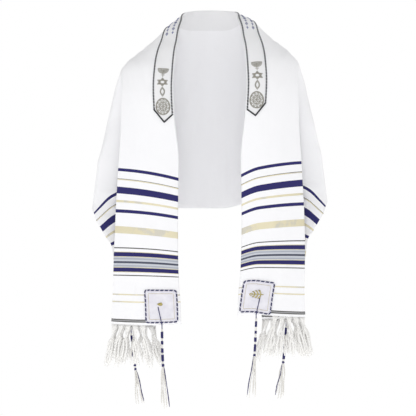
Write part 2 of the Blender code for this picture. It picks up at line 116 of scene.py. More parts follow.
# Each row: along, out, back, down, in millimetres.
EDGE_LINE = (
    (0, 0, 0, -12),
    (50, 45, -16, -9),
    (100, 69, -58, 0),
    (131, 72, -80, 20),
    (169, 79, -108, 45),
    (202, 83, -128, 72),
    (234, 88, -146, 98),
    (289, 93, -163, 150),
    (342, 95, -172, 202),
    (421, 91, -175, 280),
    (486, 83, -174, 345),
    (525, 80, -172, 384),
    (577, 81, -171, 436),
    (655, 82, -170, 514),
    (759, 82, -169, 618),
    (837, 80, -168, 696),
    (889, 76, -167, 748),
    (950, 74, -167, 808),
)
FRONT_LINE = (
    (0, 0, 30, 74),
    (50, 52, 22, 70),
    (100, 87, -14, 34),
    (150, 117, -52, 40),
    (200, 146, -72, 73),
    (250, 162, -108, 102),
    (300, 166, -146, 138),
    (350, 166, -164, 192),
    (400, 165, -170, 242),
    (500, 160, -174, 344),
    (575, 160, -175, 417),
    (674, 162, -174, 521),
    (777, 164, -173, 629),
    (874, 165, -171, 733),
    (950, 166, -170, 811),
)
FOLD_LINE = (
    (0, 0, 54, 172),
    (50, 54, 58, 168),
    (100, 104, 50, 150),
    (150, 148, 38, 128),
    (200, 191, 6, 110),
    (250, 212, -42, 125),
    (300, 231, -98, 144),
    (350, 234, -128, 194),
    (400, 235, -140, 243),
    (450, 235, -147, 291),
    (500, 237, -151, 338),
    (575, 242, -153, 408),
    (625, 245, -153, 460),
    (674, 248, -153, 515),
    (720, 250, -152, 563),
    (777, 253, -151, 627),
    (874, 256, -149, 731),
    (950, 260, -147, 808),
)
ARM_LINE = (
    (0, 0, 58, 330),
    (100, 104, 60, 320),
    (150, 152, 52, 292),
    (200, 197, 34, 250),
    (250, 233, -6, 206),
    (300, 250, -44, 202),
    (350, 266, -66, 256),
    (400, 278, -82, 312),
    (450, 290, -92, 368),
    (500, 296, -100, 422),
    (540, 293, -107, 458),
    (575, 249, -110, 467),
    (625, 240, -110, 524),
    (674, 240, -107, 590),
    (720, 245, -104, 644),
    (777, 239, -100, 690),
    (874, 232, -96, 768),
    (950, 230, -94, 827),
)
HEM_LINE = (
    (0, 0, 46, 509),
    (100, 98, 54, 508),
    (200, 190, 44, 507),
    (300, 258, 8, 506),
    (350, 279, -20, 506),
    (400, 293, -48, 507),
    (450, 301, -74, 508),
    (500, 306, -96, 509),
    (540, 306, -112, 511),
    (575, 301, -124, 522),
    (599, 295, -126, 541),
    (625, 282, -124, 562),
    (651, 270, -120, 584),
    (674, 257, -116, 602),
    (720, 250, -108, 645),
    (777, 245, -104, 692),
    (874, 240, -99, 770),
    (950, 237, -96, 827),
)
# Each row: along, space between the tucked layers, how far the layers behind hang below the front one.
TUCK_LINE = (
    (0, 0, 0),
    (270, 0, 0),
    (300, 4, 2),
    (350, 10, 10),
    (400, 14, 22),
    (500, 16, 42),
    (575, 17, 53),
    (674, 17, 78),
    (720, 17, 76),
    (777, 17, 64),
    (874, 16, 34),
    (950, 16, 9),
)
# Soft folds of the back. Each row: along (left is minus), width, depth, how much it leans.
BACK_FOLDS = (
    (-395, 60, 16, 0.02),
    (-300, 66, -20, 0.05),
    (-205, 58, 17, 0.10),
    (-118, 44, -9, 0.16),
    (-48, 26, 5, 0.22),
    (52, 30, -5, -0.04),
    (125, 46, 10, -0.10),
    (212, 58, -18, -0.08),
    (306, 64, 19, -0.04),
    (400, 60, -15, -0.02),
)
CREASE_DEPTH = 1.5
CREASE_FADE = 0.035
SHARP_FOLD_FROM = 0.26
# Light creases, listed in millimetres. Each row: along, across, half its length, half its
# width, height (minus is a trough), and its turn from the along direction in degrees.
CREASES = (
    (-330, 128, 85, 9, 1.6, 24),
    (-300, 96, 60, 8, -1.2, 30),
    (-262, 150, 60, 12, 2.0, 38),
    (-228, 118, 46, 9, -1.6, 44),
    (-430, 140, 95, 10, -1.1, 8),
    (-520, 110, 90, 12, 1.3, 4),
    (-600, 150, 80, 9, -1.0, -3),
    (-868, 118, 78, 8, 2.0, 2),
    (-850, 152, 85, 10, -1.3, -2),
    (-740, 92, 95, 13, 1.0, 3),
    (-690, 60, 70, 12, -0.9, -5),
    (320, 132, 75, 9, 1.5, -26),
    (286, 104, 58, 8, -1.3, -32),
    (250, 150, 62, 12, 2.1, -38),
    (216, 112, 44, 9, -1.5, -42),
    (455, 132, 90, 11, -1.2, -6),
    (548, 104, 85, 12, 1.2, -3),
    (640, 148, 80, 9, 1.0, 4),
    (862, 112, 82, 8, 1.9, -2),
    (836, 150, 76, 10, -1.4, 3),
    (720, 84, 90, 13, 0.9, -4),
    (-30, 300, 10, 120, 1.2, 12),
    (-52, 250, 8, 110, -1.4, 16),
    (54, 430, 7, 95, 1.8, -2),
    (26, 380, 9, 120, -0.9, 4),
    (-150, 330, 11, 130, 1.7, 8),
    (165, 320, 12, 130, -1.6, -7),
    (-255, 380, 10, 110, -1.8, 5),
    (262, 390, 10, 115, 1.7, -5),
    (-450, 400, 80, 20, 1.4, 38),
    (-520, 350, 60, 14, -1.0, 34),
    (-560, 470, 52, 12, 0.9, 30),
    (455, 395, 78, 19, 1.3, -38),
    (524, 355, 58, 14, -1.1, -34),
    (566, 470, 50, 12, 1.0, -30),
    (-640, 480, 60, 10, -1.4, 22),
    (646, 478, 60, 10, -1.5, -22),
)
# Woven stripes on both halves. Each row: middle, width, both in millimetres along, colour, and 1
# where the yarn is metallic.
STRIPES = (
    (796.4, 27.0, "mist", 0),
    (940.0, 7.0, "ash", 0),
    (575.0, 8.0, "navy", 0),
    (598.0, 1.2, "smoke", 0),
    (599.8, 2.4, "gold", 1),
    (625.6, 16.0, "navy", 0),
    (651.2, 5.2, "gold", 1),
    (674.2, 8.0, "navy", 0),
    (720.2, 17.0, "gold", 1),
    (762.5, 2.6, "smoke", 0),
    (771.9, 1.6, "gold", 1),
    (777.6, 9.8, "navy", 0),
    (783.3, 1.6, "gold", 1),
    (788.0, 3.6, "silver", 1),
    (796.4, 4.8, "slate", 0),
    (804.8, 3.6, "silver", 1),
    (808.6, 1.6, "gold", 1),
    (814.2, 9.8, "navy", 0),
    (819.8, 1.6, "gold", 1),
    (827.6, 2.4, "smoke", 0),
    (874.1, 3.4, "gold", 1),
    (892.1, 3.4, "gold", 1),
    (937.2, 2.4, "smoke", 0),
    (942.6, 2.4, "smoke", 0),
)
# Stripes further along than this, in millimetres, stop at the front patches.
END_LINES_FROM = 930
# How far along the neckband each embroidered figure has its middle.
LAMP_AT, STAR_AT, OVAL_AT, ROSETTE_AT = 0.3085, 0.3325, 0.3565, 0.3950
MEDALLION_WIDTH_SHARE = 0.84
STITCH_INPUTS = ("Step", "Length", "Width", "Slant", "Zigzag", "Repeat")
# Each row holds those six values. One stitch in each repeat is light and the others are dark.
STITCH_KINDS = {
    "border": (0.0020, 0.0060, 0.0032, 0.95, 1.0, 4.0),
    "point": (0.0018, 0.0034, 0.0044, 0.0, 0.0, 2.0),
    "cord": (0.0030, 0.0062, 0.0034, 0.6, 0.0, 4.0),
    "line": (0.0016, 0.0024, 0.0008, 0.0, 0.0, 2.0),
}
# Each row: name, place, the place it faces, breadth in metres, power in watts.
LAMPS = (
    ("front softbox", (-0.10, -4.6, -0.1), (0.0, 0.0, -0.5), 1.4, 29.0),
    ("left softbox", (-2.6, -1.2, 0.9), (0.0, 0.0, -0.45), 1.4, 7.0),
    ("right softbox", (2.6, 0.6, 0.6), (0.0, 0.0, -0.45), 1.4, 9.0),
    ("rear softbox", (0.6, 4.4, 0.4), (0.0, 0.0, -0.4), 1.4, 20.0),
    ("top softbox", (0.0, -1.6, 2.3), (0.0, 0.0, -0.1), 1.6, 13.0),
)
AIR_SEEN, AIR_LIGHT = 1.0, 0.54
FLOOR_BELOW = 0.38
FLOOR_REACH = 5.0
# The camera looks level at the open front and takes in this breadth at the depth of the fronts.
VIEW_CENTRE = (-0.0046, -0.12, -0.508)
VIEW_BREADTH = 1.0816
SMALL_YARN_COLOURS = {
    "mist": "#C6CAD2",
    "ash": "#9C9C9E",
    "silver": "#9FA4B0",
    "slate": "#4A4E5E",
    "smoke": "#4A4947",
}


def curve_through(table, at):
    """Reads a table of rows at a distance along, smoothly, mirrored about the centre of the back."""
    rows = np.array(table, dtype=float)
    mirrored = rows[1:][::-1] * np.array([-1.0, -1.0] + [1.0] * (rows.shape[1] - 2))
    if table is TUCK_LINE:
        mirrored[:, 1] *= -1.0
    rows = np.vstack([mirrored, rows])
    places, values = rows[:, 0], rows[:, 1:]
    here = at * 1000.0
    k = int(np.clip(np.searchsorted(places, here) - 1, 0, len(places) - 2))
    span = places[k + 1] - places[k]
    slope_before = slope_at(places, values, k)
    slope_after = slope_at(places, values, k + 1)
    t = (here - places[k]) / span
    return (
        (2 * t**3 - 3 * t**2 + 1) * values[k]
        + (t**3 - 2 * t**2 + t) * span * slope_before
        + (3 * t**2 - 2 * t**3) * values[k + 1]
        + (t**3 - t**2) * span * slope_after
    ) / 1000.0


def slope_at(places, values, k):
    """Slope at a row, from its two neighbours."""
    low, high = max(k - 1, 0), min(k + 1, len(places) - 1)
    return (values[high] - values[low]) / (places[high] - places[low])


def ease(value, start, stop):
    """Rises softly from 0 at the start to 1 at the stop."""
    t = np.clip((value - start) / (stop - start), 0.0, 1.0)
    return t * t * (3 - 2 * t)


def lengths_along(points):
    """Distance along a path to each of its points."""
    steps = np.linalg.norm(np.diff(points, axis=0), axis=1)
    return np.concatenate([[0.0], np.cumsum(steps)])


def resample(points, step):
    """The same path with points at even distances."""
    reach = lengths_along(points)
    count = max(int(round(reach[-1] / step)), 8)
    places = np.linspace(0.0, reach[-1], count + 1)
    return np.column_stack([np.interp(places, reach, points[:, i]) for i in range(3)])


def round_off(points, reach):
    """Rounds the corners of a dense path by averaging over a window, with its two ends kept."""
    half = max(int(round(reach / PATH_STEP)), 1)
    before = 2 * points[0] - points[1 : half + 1][::-1]
    after = 2 * points[-1] - points[-half - 1 : -1][::-1]
    padded = np.vstack([before, points, after])
    kernel = np.ones(2 * half + 1) / (2 * half + 1)
    return np.column_stack([np.convolve(padded[:, i], kernel, mode="valid") for i in range(3)])


def bezier(start, middle, end, count=24):
    """A curve from start to end, drawn towards the middle."""
    t = np.linspace(0.0, 1.0, count + 1)[:, None]
    return (1 - t) ** 2 * start + 2 * t * (1 - t) * middle + t**2 * end


class Section:
    """The line across the cloth at one distance along it, as (out, back, down) points."""

    def __init__(self, along):
        tables = (EDGE_LINE, FRONT_LINE, FOLD_LINE, ARM_LINE, HEM_LINE)
        edge, front, fold, arm, hem = (curve_through(table, along) for table in tables)
        space, rear_drop = np.maximum(curve_through(TUCK_LINE, along), 0.0)
        side = 1.0 if along >= 0 else -1.0
        lead = bezier(edge, 2 * front - 0.5 * (edge + fold), fold)
        inner = np.array([-side, 0.0, 0.0])
        stair = np.array([0.0, space, rear_drop / 3])
        tail = np.vstack([arm, hem])

        def layers(spare):
            first, second = FIRST_TUCK_SHARE * spare, (1 - FIRST_TUCK_SHARE) * spare
            turn_back = min(TUCK_TURN_BACK, first / 2)
            tuck = np.vstack([
                fold + inner * first,
                fold + stair + inner * first,
                fold + stair + inner * turn_back,
                fold + 2 * stair + inner * turn_back,
                fold + 2 * stair + inner * second,
                fold + 3 * stair + inner * second,
            ])
            return np.vstack([lead, tuck, tail]) if space > 0.0 else np.vstack([lead, tail])

        # Halving finds the depth of tuck that takes up the whole width of the cloth.
        low, high = 0.0, MOST_SPARE
        for _ in range(24):
            spare = (low + high) / 2
            if lengths_along(layers(spare))[-1] < WIDTH + ROUNDING_LOSS:
                low = spare
            else:
                high = spare
        spare = min(spare, STEEPEST_TUCK * max(space - 0.002, 0.0))
        path = layers(spare)
        fold_mark = lengths_along(lead)[-1]
        tuck_mark = fold_mark + 3 * space + spare * (1 + FIRST_TUCK_SHARE)
        whole = lengths_along(path)[-1]
        dense = resample(path, PATH_STEP)
        window = TIGHT_ROUNDING + SHOULDER_ROUNDING * (1 - ease(abs(along), 0.20, 0.40))
        tight, loose = round_off(dense, window), round_off(dense, ARM_ROUNDING)
        past = (lengths_along(dense) - tuck_mark) / 0.050 - 0.3
        weight = np.clip(past, 0.0, 1.0)[:, None]
        dense = tight * (1 - weight) + loose * weight
        reach = lengths_along(dense)
        front_reach = fold_mark * reach[-1] / whole
        stretch = (WIDTH - front_reach) / (reach[-1] - front_reach)
        self.points = dense
        self.across = np.where(reach < front_reach, reach, front_reach + (reach - front_reach) * stretch)
        self.fold = front_reach

    def at(self, across):
        return np.column_stack([np.interp(across, self.across, self.points[:, i]) for i in range(3)])


def across_lines(section, count):
    """Where a grid crosses one section: evenly, but closer together where the cloth turns."""
    near = [0.0, BAND_NEAR, PATCH_FROM_EDGE, BAND_MIDDLE, BAND_FAR, PATCH_FROM_EDGE + PATCH_SIZE]
    stop = WIDTH - PATCH_FROM_EDGE - PATCH_SIZE
    places = np.linspace(near[-1], stop, 400)
    way = np.diff(section.at(places), axis=0)
    way /= np.linalg.norm(way, axis=1)[:, None]
    turning = np.arccos(np.clip(np.sum(way[1:] * way[:-1], axis=1), -1.0, 1.0))
    share = np.concatenate([[0.0], np.cumsum(turning) / TURN_PER_LINE])
    share += (places[:-1] - places[0]) / SPACE_PER_LINE
    wanted = np.linspace(0.0, share[-1], count + 1)[1:-1]
    middle = np.interp(wanted, share, places[:-1])
    rest = np.linspace(stop, WIDTH - PATCH_FROM_EDGE, 4)
    return np.array(near + list(middle) + list(rest) + [WIDTH])


def fine_lines(section, count):
    """The same, with further lines between the coarse ones near both edges."""
    lines = across_lines(section, count)

    def split(k, steps):
        return np.linspace(lines[k], lines[k + 1], steps + 1)[:-1]

    near = [split(k, steps) for k, steps in enumerate((1, 1, 4, 5, 7))]
    far = [split(k, 5) for k in (-5, -4, -3)]
    return np.concatenate([*near, lines[5:-5], *far, lines[-2:]])


def back_wave(along, across):
    """How far the soft folds of the back push the cloth backwards."""
    total = np.zeros_like(across)
    for place, width, depth, lean in BACK_FOLDS:
        offset = (along * 1000 - place - lean * across * 1000) / width
        total += depth / 1000 * np.exp(-2.2 * offset * offset)
    return total * (1 - ease(abs(along), 0.38, 0.47)) * ease(across, 0.06, WIDTH)


def settle(along, across, points, fold_across):
    """Turns (out, back, down) into places, with the small differences between the two sides."""
    x, y, z = points[:, 0].copy(), points[:, 1] + back_wave(along, across), -points[:, 2]
    x += NECK_SHIFT * np.exp(-np.maximum(-z, 0.0) / 0.15)
    if along > 0:
        z += RIGHT_SHOULDER_RISE * ease(x, 0.03, 0.13) * ease(-z, -0.03, 0.03)
        low = ease(along, 0.70, HALF_LENGTH)
        x *= 1 - 0.03 * low
        z += RIGHT_INNER_LIFT * low * np.maximum(1 - across / fold_across, 0.0)
    return np.column_stack([x, y, z])


def crease_height(along, across):
    """Height of the light creases at places given by two arrays of the same size."""
    total = np.zeros_like(across)
    for place, over, half_length, half_width, height, turn in CREASES:
        a, b = along * 1000 - place, across * 1000 - over
        turned = math.radians(turn)
        with_it = (a * math.cos(turned) + b * math.sin(turned)) / half_length
        over_it = (-a * math.sin(turned) + b * math.cos(turned)) / half_width
        total += CREASE_DEPTH * height / 1000 * np.exp(-(with_it**2) * 1.6 - over_it**2)
    return total


class Cloth:
    """The outer face of the shawl as a fine grid that every other piece is laid on."""

    def __init__(self, row_step, lines):
        count = int(round(2 * HALF_LENGTH / row_step))
        self.along = np.linspace(-HALF_LENGTH, HALF_LENGTH, count + 1)
        self.sections = [Section(float(a)) for a in self.along]
        self.across = np.array([fine_lines(s, lines) for s in self.sections])
        rows = []
        for along, section, across in zip(self.along, self.sections, self.across):
            rows.append(settle(along, across, section.at(across), section.fold))
        plain = np.array(rows)
        outward = np.cross(np.gradient(plain, axis=0), np.gradient(plain, axis=1))
        outward /= np.linalg.norm(outward, axis=2)[:, :, None]
        spread = np.repeat(self.along[:, None], self.across.shape[1], axis=1)
        # Creases fade out beside the sharp fold at the panel's outer side.
        folds = np.array([s.fold for s in self.sections])
        from_fold = np.clip(np.abs(self.across - folds[:, None]) / CREASE_FADE, 0.0, 1.0)
        sharp = np.clip((np.abs(self.along) - SHARP_FOLD_FROM) / 0.05, 0.0, 1.0)
        fade = 1 - (1 - from_fold) * sharp[:, None]
        self.grid = plain + outward * (fade * crease_height(spread, self.across))[:, :, None]

    def place(self, along, across):
        """The place on the outer face at two distances on the cloth."""
        share = (along + HALF_LENGTH) / (2 * HALF_LENGTH) * (len(self.along) - 1)
        k = int(min(max(math.floor(share), 0), len(self.along) - 2))
        ends = [
            np.array([np.interp(across, self.across[row], self.grid[row][:, i]) for i in range(3)])
            for row in (k, k + 1)
        ]
        return ends[0] + (ends[1] - ends[0]) * (share - k)

    def outward(self, along, across, reach=0.003):
        """The direction out of the face there."""
        a0, a1 = max(along - reach, -HALF_LENGTH), min(along + reach, HALF_LENGTH)
        b0, b1 = max(across - reach, 0.0), min(across + reach, WIDTH)
        down = self.place(a1, across) - self.place(a0, across)
        over = self.place(along, b1) - self.place(along, b0)
        outward = np.cross(down, over)
        return outward / np.linalg.norm(outward)

    def lifted(self, along, across, height):
        """A place at a height over the face."""
        return self.place(along, across) + self.outward(along, across) * height


def linear(hex_colour):
    """An sRGB hex colour as Blender's linear colour."""
    channels = [int(hex_colour[i : i + 2], 16) / 255 for i in (1, 3, 5)]
    return [c / 12.92 if c <= 0.04045 else ((c + 0.055) / 1.055) ** 2.4 for c in channels] + [1.0]


def add_node(tree, kind, options=None, values=None, links=None):
    """Adds a node, sets its options and input values, and links its inputs."""
    node = tree.nodes.new(kind)
    for name, option in (options or {}).items():
        setattr(node, name, option)
    for name, value in (values or {}).items():
        node.inputs[name].default_value = value
    for name, source in (links or {}).items():
        tree.links.new(source, node.inputs[name])
    return node


def calculate(tree, operation, *terms):
    """A maths node whose terms are numbers or other nodes' outputs."""
    node = tree.nodes.new("ShaderNodeMath")
    node.operation = operation
    for k, term in enumerate(terms):
        if isinstance(term, (int, float)):
            node.inputs[k].default_value = term
        else:
            tree.links.new(term, node.inputs[k])
    return node.outputs[0]


def blended(tree, share, first, second, way="MIX"):
    """A colour between two, each a colour or another node's output."""
    node = add_node(tree, "ShaderNodeMix", {"data_type": "RGBA", "blend_type": way})
    for socket, term in ((0, share), (6, first), (7, second)):
        if isinstance(term, (int, float, list)):
            node.inputs[socket].default_value = term
        else:
            tree.links.new(term, node.inputs[socket])
    return node.outputs[2]


def new_material(name, roughness=0.8, sheen=0.0):
    """A material, its node tree and its shader."""
    material = bpy.data.materials.new(name)
    material.use_nodes = True
    shader = material.node_tree.nodes["Principled BSDF"]
    shader.inputs["Roughness"].default_value = roughness
    shader.inputs["Sheen Weight"].default_value = sheen
    shader.inputs["Sheen Roughness"].default_value = 0.5
    return material, material.node_tree, shader


def noise(tree, source, scale, detail=2.0):
    """Soft clouds of tone between 0 and 1."""
    values = {"Scale": scale, "Detail": detail}
    return add_node(tree, "ShaderNodeTexNoise", values=values, links={"Vector": source}).outputs[0]


def sine_of(tree, source, period):
    """A wave with a period in metres."""
    return calculate(tree, "SINE", calculate(tree, "MULTIPLY", source, 2 * math.pi / period))


def cloth_coordinates(tree):
    """The piece's own UV map in metres, whole and as along and across."""
    uv = add_node(tree, "ShaderNodeUVMap", {"uv_map": "cloth"})
    parts = add_node(tree, "ShaderNodeSeparateXYZ", links={0: uv.outputs[0]})
    return uv.outputs[0], parts.outputs[0], parts.outputs[1]


def roughen(tree, shader, height, strength, distance, below=None):
    """Adds relief to a shader's normal, over another relief if one is given."""
    values = {"Strength": strength, "Distance": distance}
    bump = add_node(tree, "ShaderNodeBump", values=values, links={"Height": height})
    if below is not None:
        tree.links.new(below.outputs[0], bump.inputs["Normal"])
    tree.links.new(bump.outputs[0], shader.inputs["Normal"])
    return bump


def woven_cloth_material(chosen):
    """Plain weave of wool and acrylic: matt and soft, with dyed and metallic yarns in the stripes."""
    material, tree, shader = new_material("woven wool and acrylic", 0.86, 0.2)
    uv, along, across = cloth_coordinates(tree)
    from_back = calculate(tree, "ABSOLUTE", along)
    # Soft noise that places the painted reflection patches on the gold stripes.
    painted_glint_noise = noise(tree, uv, 26.0, 3.0)
    colours = {name: linear(value) for name, value in SMALL_YARN_COLOURS.items()}
    colours["navy"] = list(chosen.navy) + [1.0]
    colours["gold"] = list(chosen.gold) + [1.0]
    masks, shine = {}, 0.0
    for middle, width, colour, metallic in STRIPES:
        inside = calculate(tree, "COMPARE", from_back, middle / 1000, width / 2000)
        if middle > END_LINES_FROM:
            beyond = calculate(tree, "GREATER_THAN", across, PATCH_FROM_EDGE + PATCH_SIZE / 2)
            inside = calculate(tree, "MULTIPLY", inside, beyond)
        masks[colour] = calculate(tree, "ADD", inside, masks.get(colour, 0.0))
        if metallic:
            shine = calculate(tree, "ADD", inside, shine)
    # White yarns lie between the metallic ones, so those stripes show lines 1.6 mm apart.
    rib = calculate(tree, "MULTIPLY_ADD", sine_of(tree, along, 0.0016), 0.2, 0.8)
    tone = list(chosen.white) + [1.0]
    for colour, mask in masks.items():
        share = calculate(tree, "MULTIPLY", mask, rib) if colour in ("gold", "silver") else mask
        yarn = colours[colour]
        if colour == "gold":
            # Painted reflection: the gold yarn is drawn grey-silver in patches, where its metallic glint
            # dulls.
            reach = {"From Min": 0.52, "From Max": 0.60, "To Max": 0.6}
            turned = add_node(tree, "ShaderNodeMapRange", values=reach, links={"Value": painted_glint_noise})
            yarn = blended(tree, turned.outputs[0], yarn, linear("#B3B1AC"))
        tone = blended(tree, share, tone, yarn)
    # Painted shade: the cloth is drawn a little darker along the neck edge, where the neckband lies behind
    # it.
    on_band = calculate(tree, "LESS_THAN", across, BAND_FAR)
    in_reach = calculate(tree, "LESS_THAN", from_back, 0.25)
    painted_band_shade = calculate(tree, "MULTIPLY", calculate(tree, "MULTIPLY", on_band, in_reach), 0.16)
    tone = blended(tree, painted_band_shade, tone, linear("#B9B8B4"))
    tree.links.new(tone, shader.inputs["Base Color"])
    tree.links.new(calculate(tree, "MULTIPLY", shine, 0.25), shader.inputs["Metallic"])
    tree.links.new(calculate(tree, "MULTIPLY_ADD", shine, -0.42, 0.86), shader.inputs["Roughness"])
    soft = roughen(tree, shader, noise(tree, uv, 42.0, 3.0), 0.30, 0.0035)
    threads = [sine_of(tree, source, chosen.thread_pitch) for source in (along, across)]
    roughen(tree, shader, calculate(tree, "MULTIPLY", *threads), 0.22, 0.0003, soft)
    return material


def brocade_material():
    """Silver-white rayon brocade: a low diamond figure of about 5 mm that catches the light."""
    material, tree, shader = new_material("silver brocade", 0.62, 0.15)
    _, along, across = cloth_coordinates(tree)
    rising = sine_of(tree, calculate(tree, "ADD", along, across), 0.0052)
    falling = sine_of(tree, calculate(tree, "SUBTRACT", along, across), 0.0052)
    figure = calculate(tree, "MULTIPLY_ADD", calculate(tree, "MULTIPLY", rising, falling), 0.7, 0.5)
    woven = blended(tree, figure, linear("#E6E6E8"), linear("#F8F8F9"))
    # Outside the border the band is plain white.
    inside = calculate(tree, "COMPARE", across, BAND_MIDDLE, BAND_HALF - BORDER_INSET)
    colour = blended(tree, inside, linear("#F6F6F8"), woven)
    tree.links.new(colour, shader.inputs["Base Color"])
    ribbed = calculate(tree, "MULTIPLY_ADD", sine_of(tree, across, 0.0009), 0.35, figure)
    roughen(tree, shader, ribbed, 0.35, 0.0004)
    return material


def satin_material():
    """White polyester satin: smooth, with fine ribs 1.6 mm apart."""
    material, tree, shader = new_material("white satin patch", 0.5, 0.1)
    uv, along, _ = cloth_coordinates(tree)
    tone = blended(tree, noise(tree, uv, 60.0), linear("#D6D4DF"), linear("#F1F0F5"))
    tree.links.new(tone, shader.inputs["Base Color"])
    roughen(tree, shader, sine_of(tree, along, 0.0016), 0.3, 0.0003)
    return material


def yarn_material(name, light, dark, roughness=0.75, metallic=0.0):
    """Yarn in two colours, told apart by the piece's tone attribute, with darker streaks of fibre."""
    material, tree, shader = new_material(name, roughness, 0.2 if metallic == 0.0 else 0.0)
    shader.inputs["Metallic"].default_value = metallic
    tone = add_node(tree, "ShaderNodeAttribute", {"attribute_name": "tone"})
    place = add_node(tree, "ShaderNodeTexCoord")
    streaks = noise(tree, place.outputs["Object"], 900.0)
    colour = blended(tree, tone.outputs["Fac"], linear(light), linear(dark))
    shade = calculate(tree, "MULTIPLY_ADD", streaks, 0.3, 0.8)
    tree.links.new(blended(tree, 1.0, colour, shade, "MULTIPLY"), shader.inputs["Base Color"])
    roughen(tree, shader, streaks, 0.35, 0.0003)
    return material


def floor_material():
    """Smooth white paper."""
    material, tree, shader = new_material("white paper floor", 0.9)
    place = add_node(tree, "ShaderNodeTexCoord")
    grain = noise(tree, place.outputs["Object"], 30.0)
    shader.inputs["Base Color"].default_value = linear("#E6E6E6")
    shader.inputs["Emission Color"].default_value = linear("#FFFFFF")
    shader.inputs["Emission Strength"].default_value = 0.70
    roughen(tree, shader, grain, 0.02, 0.001)
    return material


def link_object(name, mesh, material=None):
    """Puts a mesh into the scene as an object."""
    made = bpy.data.objects.new(name, mesh)
    if material is not None:
        mesh.materials.append(material)
    bpy.context.scene.collection.objects.link(made)
    return made


def grid_mesh(name, grid, alongs, acrosses):
    """An open surface from a grid of places, with its cloth coordinates as a UV map in metres."""
    rows, columns = grid.shape[:2]
    a = (np.arange(rows - 1)[:, None] * columns + np.arange(columns - 1)[None, :]).ravel()
    faces = np.column_stack([a, a + columns, a + columns + 1, a + 1])
    mesh = bpy.data.meshes.new(name)
    mesh.from_pydata(grid.reshape(-1, 3).tolist(), [], faces.tolist())
    layer = mesh.uv_layers.new(name="cloth")
    corners = np.zeros(len(mesh.loops), dtype=np.int32)
    mesh.loops.foreach_get("vertex_index", corners)
    flat = np.column_stack([np.asarray(alongs).ravel(), np.asarray(acrosses).ravel()])
    layer.data.foreach_set("uv", flat[corners].astype(np.float32).ravel())
    mesh.shade_smooth()
    return mesh


def give_wall(made, thickness, offset):
    """Gives an open sheet its thickness, outwards (1) or inwards (-1)."""
    wall = made.modifiers.new("wall", "SOLIDIFY")
    wall.thickness = thickness
    wall.offset = offset
    wall.use_even_offset = True
    wall.use_quality_normals = True


def frames_along(path):
    """Forward and two sideways directions at each point of a path, turning as little as they can."""
    forward = np.gradient(path, axis=0)
    forward /= np.maximum(np.linalg.norm(forward, axis=1), 1e-12)[:, None]
    start = np.array([1.0, 0.0, 0.0]) if abs(forward[0][0]) < 0.8 else np.array([0.0, 1.0, 0.0])
    first = np.zeros_like(path)
    for i, way in enumerate(forward):
        start = start - way * np.dot(start, way)
        start = start / max(np.linalg.norm(start), 1e-12)
        first[i] = start
    return forward, first, np.cross(forward, first)


def smooth_path(points, count):
    """A smooth curve through a few points."""
    points = np.asarray(points, dtype=float)
    padded = np.vstack([2 * points[0] - points[1], points, 2 * points[-1] - points[-2]])
    path = []
    for place in np.linspace(0, len(points) - 1, count):
        k = min(int(place), len(points) - 2)
        t = place - k
        a, b, c, d = padded[k : k + 4]
        bend = 2 * b + (c - a) * t + (2 * a - 5 * b + 4 * c - d) * t**2
        path.append(0.5 * (bend + (3 * b - a - 3 * c + d) * t**3))
    return np.array(path)


class Yarn:
    """Gathers tubes into one mesh, with a tone for each point."""

    def __init__(self):
        self.points, self.faces, self.tones = [], [], []
        self.total = 0

    def tube(self, path, radius, sides=5, tone=0.0):
        """A closed tube along a path."""
        path = np.asarray(path, dtype=float)
        _, first, second = frames_along(path)
        count = len(path)
        radius = np.broadcast_to(np.asarray(radius, dtype=float), (count,))
        tone = np.broadcast_to(np.asarray(tone, dtype=float), (count,))
        turns = np.linspace(0, 2 * math.pi, sides, endpoint=False)
        cos, sin = np.cos(turns)[None, :, None], np.sin(turns)[None, :, None]
        ring = cos * first[:, None, :] + sin * second[:, None, :]
        self.points.append((path[:, None, :] + ring * radius[:, None, None]).reshape(-1, 3))
        self.tones.append(np.repeat(tone, sides))
        start = self.total
        for i in range(count - 1):
            a = start + i * sides
            for k in range(sides):
                after = (k + 1) % sides
                self.faces.append((a + k, a + after, a + sides + after, a + sides + k))
        self.faces.append(tuple(start + k for k in reversed(range(sides))))
        self.faces.append(tuple(start + (count - 1) * sides + k for k in range(sides)))
        self.total += count * sides

    def twisted(self, path, ply_radius, offset, pitch, tone=0.0, taper=1.0, plies=2):
        """Plies wound round each other along a path."""
        _, first, second = frames_along(path)
        reach = lengths_along(path)
        shrink = np.broadcast_to(np.asarray(taper, dtype=float), (len(path),))
        for k in range(plies):
            turn = 2 * math.pi * (reach / pitch + k / plies)
            around = np.cos(turn)[:, None] * first + np.sin(turn)[:, None] * second
            self.tube(path + around * offset * shrink[:, None], ply_radius * shrink, 5, tone)

    def mesh(self, name):
        """All the tubes as one mesh."""
        mesh = bpy.data.meshes.new(name)
        mesh.from_pydata(np.vstack(self.points).tolist(), [], self.faces)
        tone = mesh.attributes.new("tone", "FLOAT", "POINT")
        tone.data.foreach_set("value", np.concatenate(self.tones).astype(np.float32))
        mesh.shade_smooth()
        return mesh


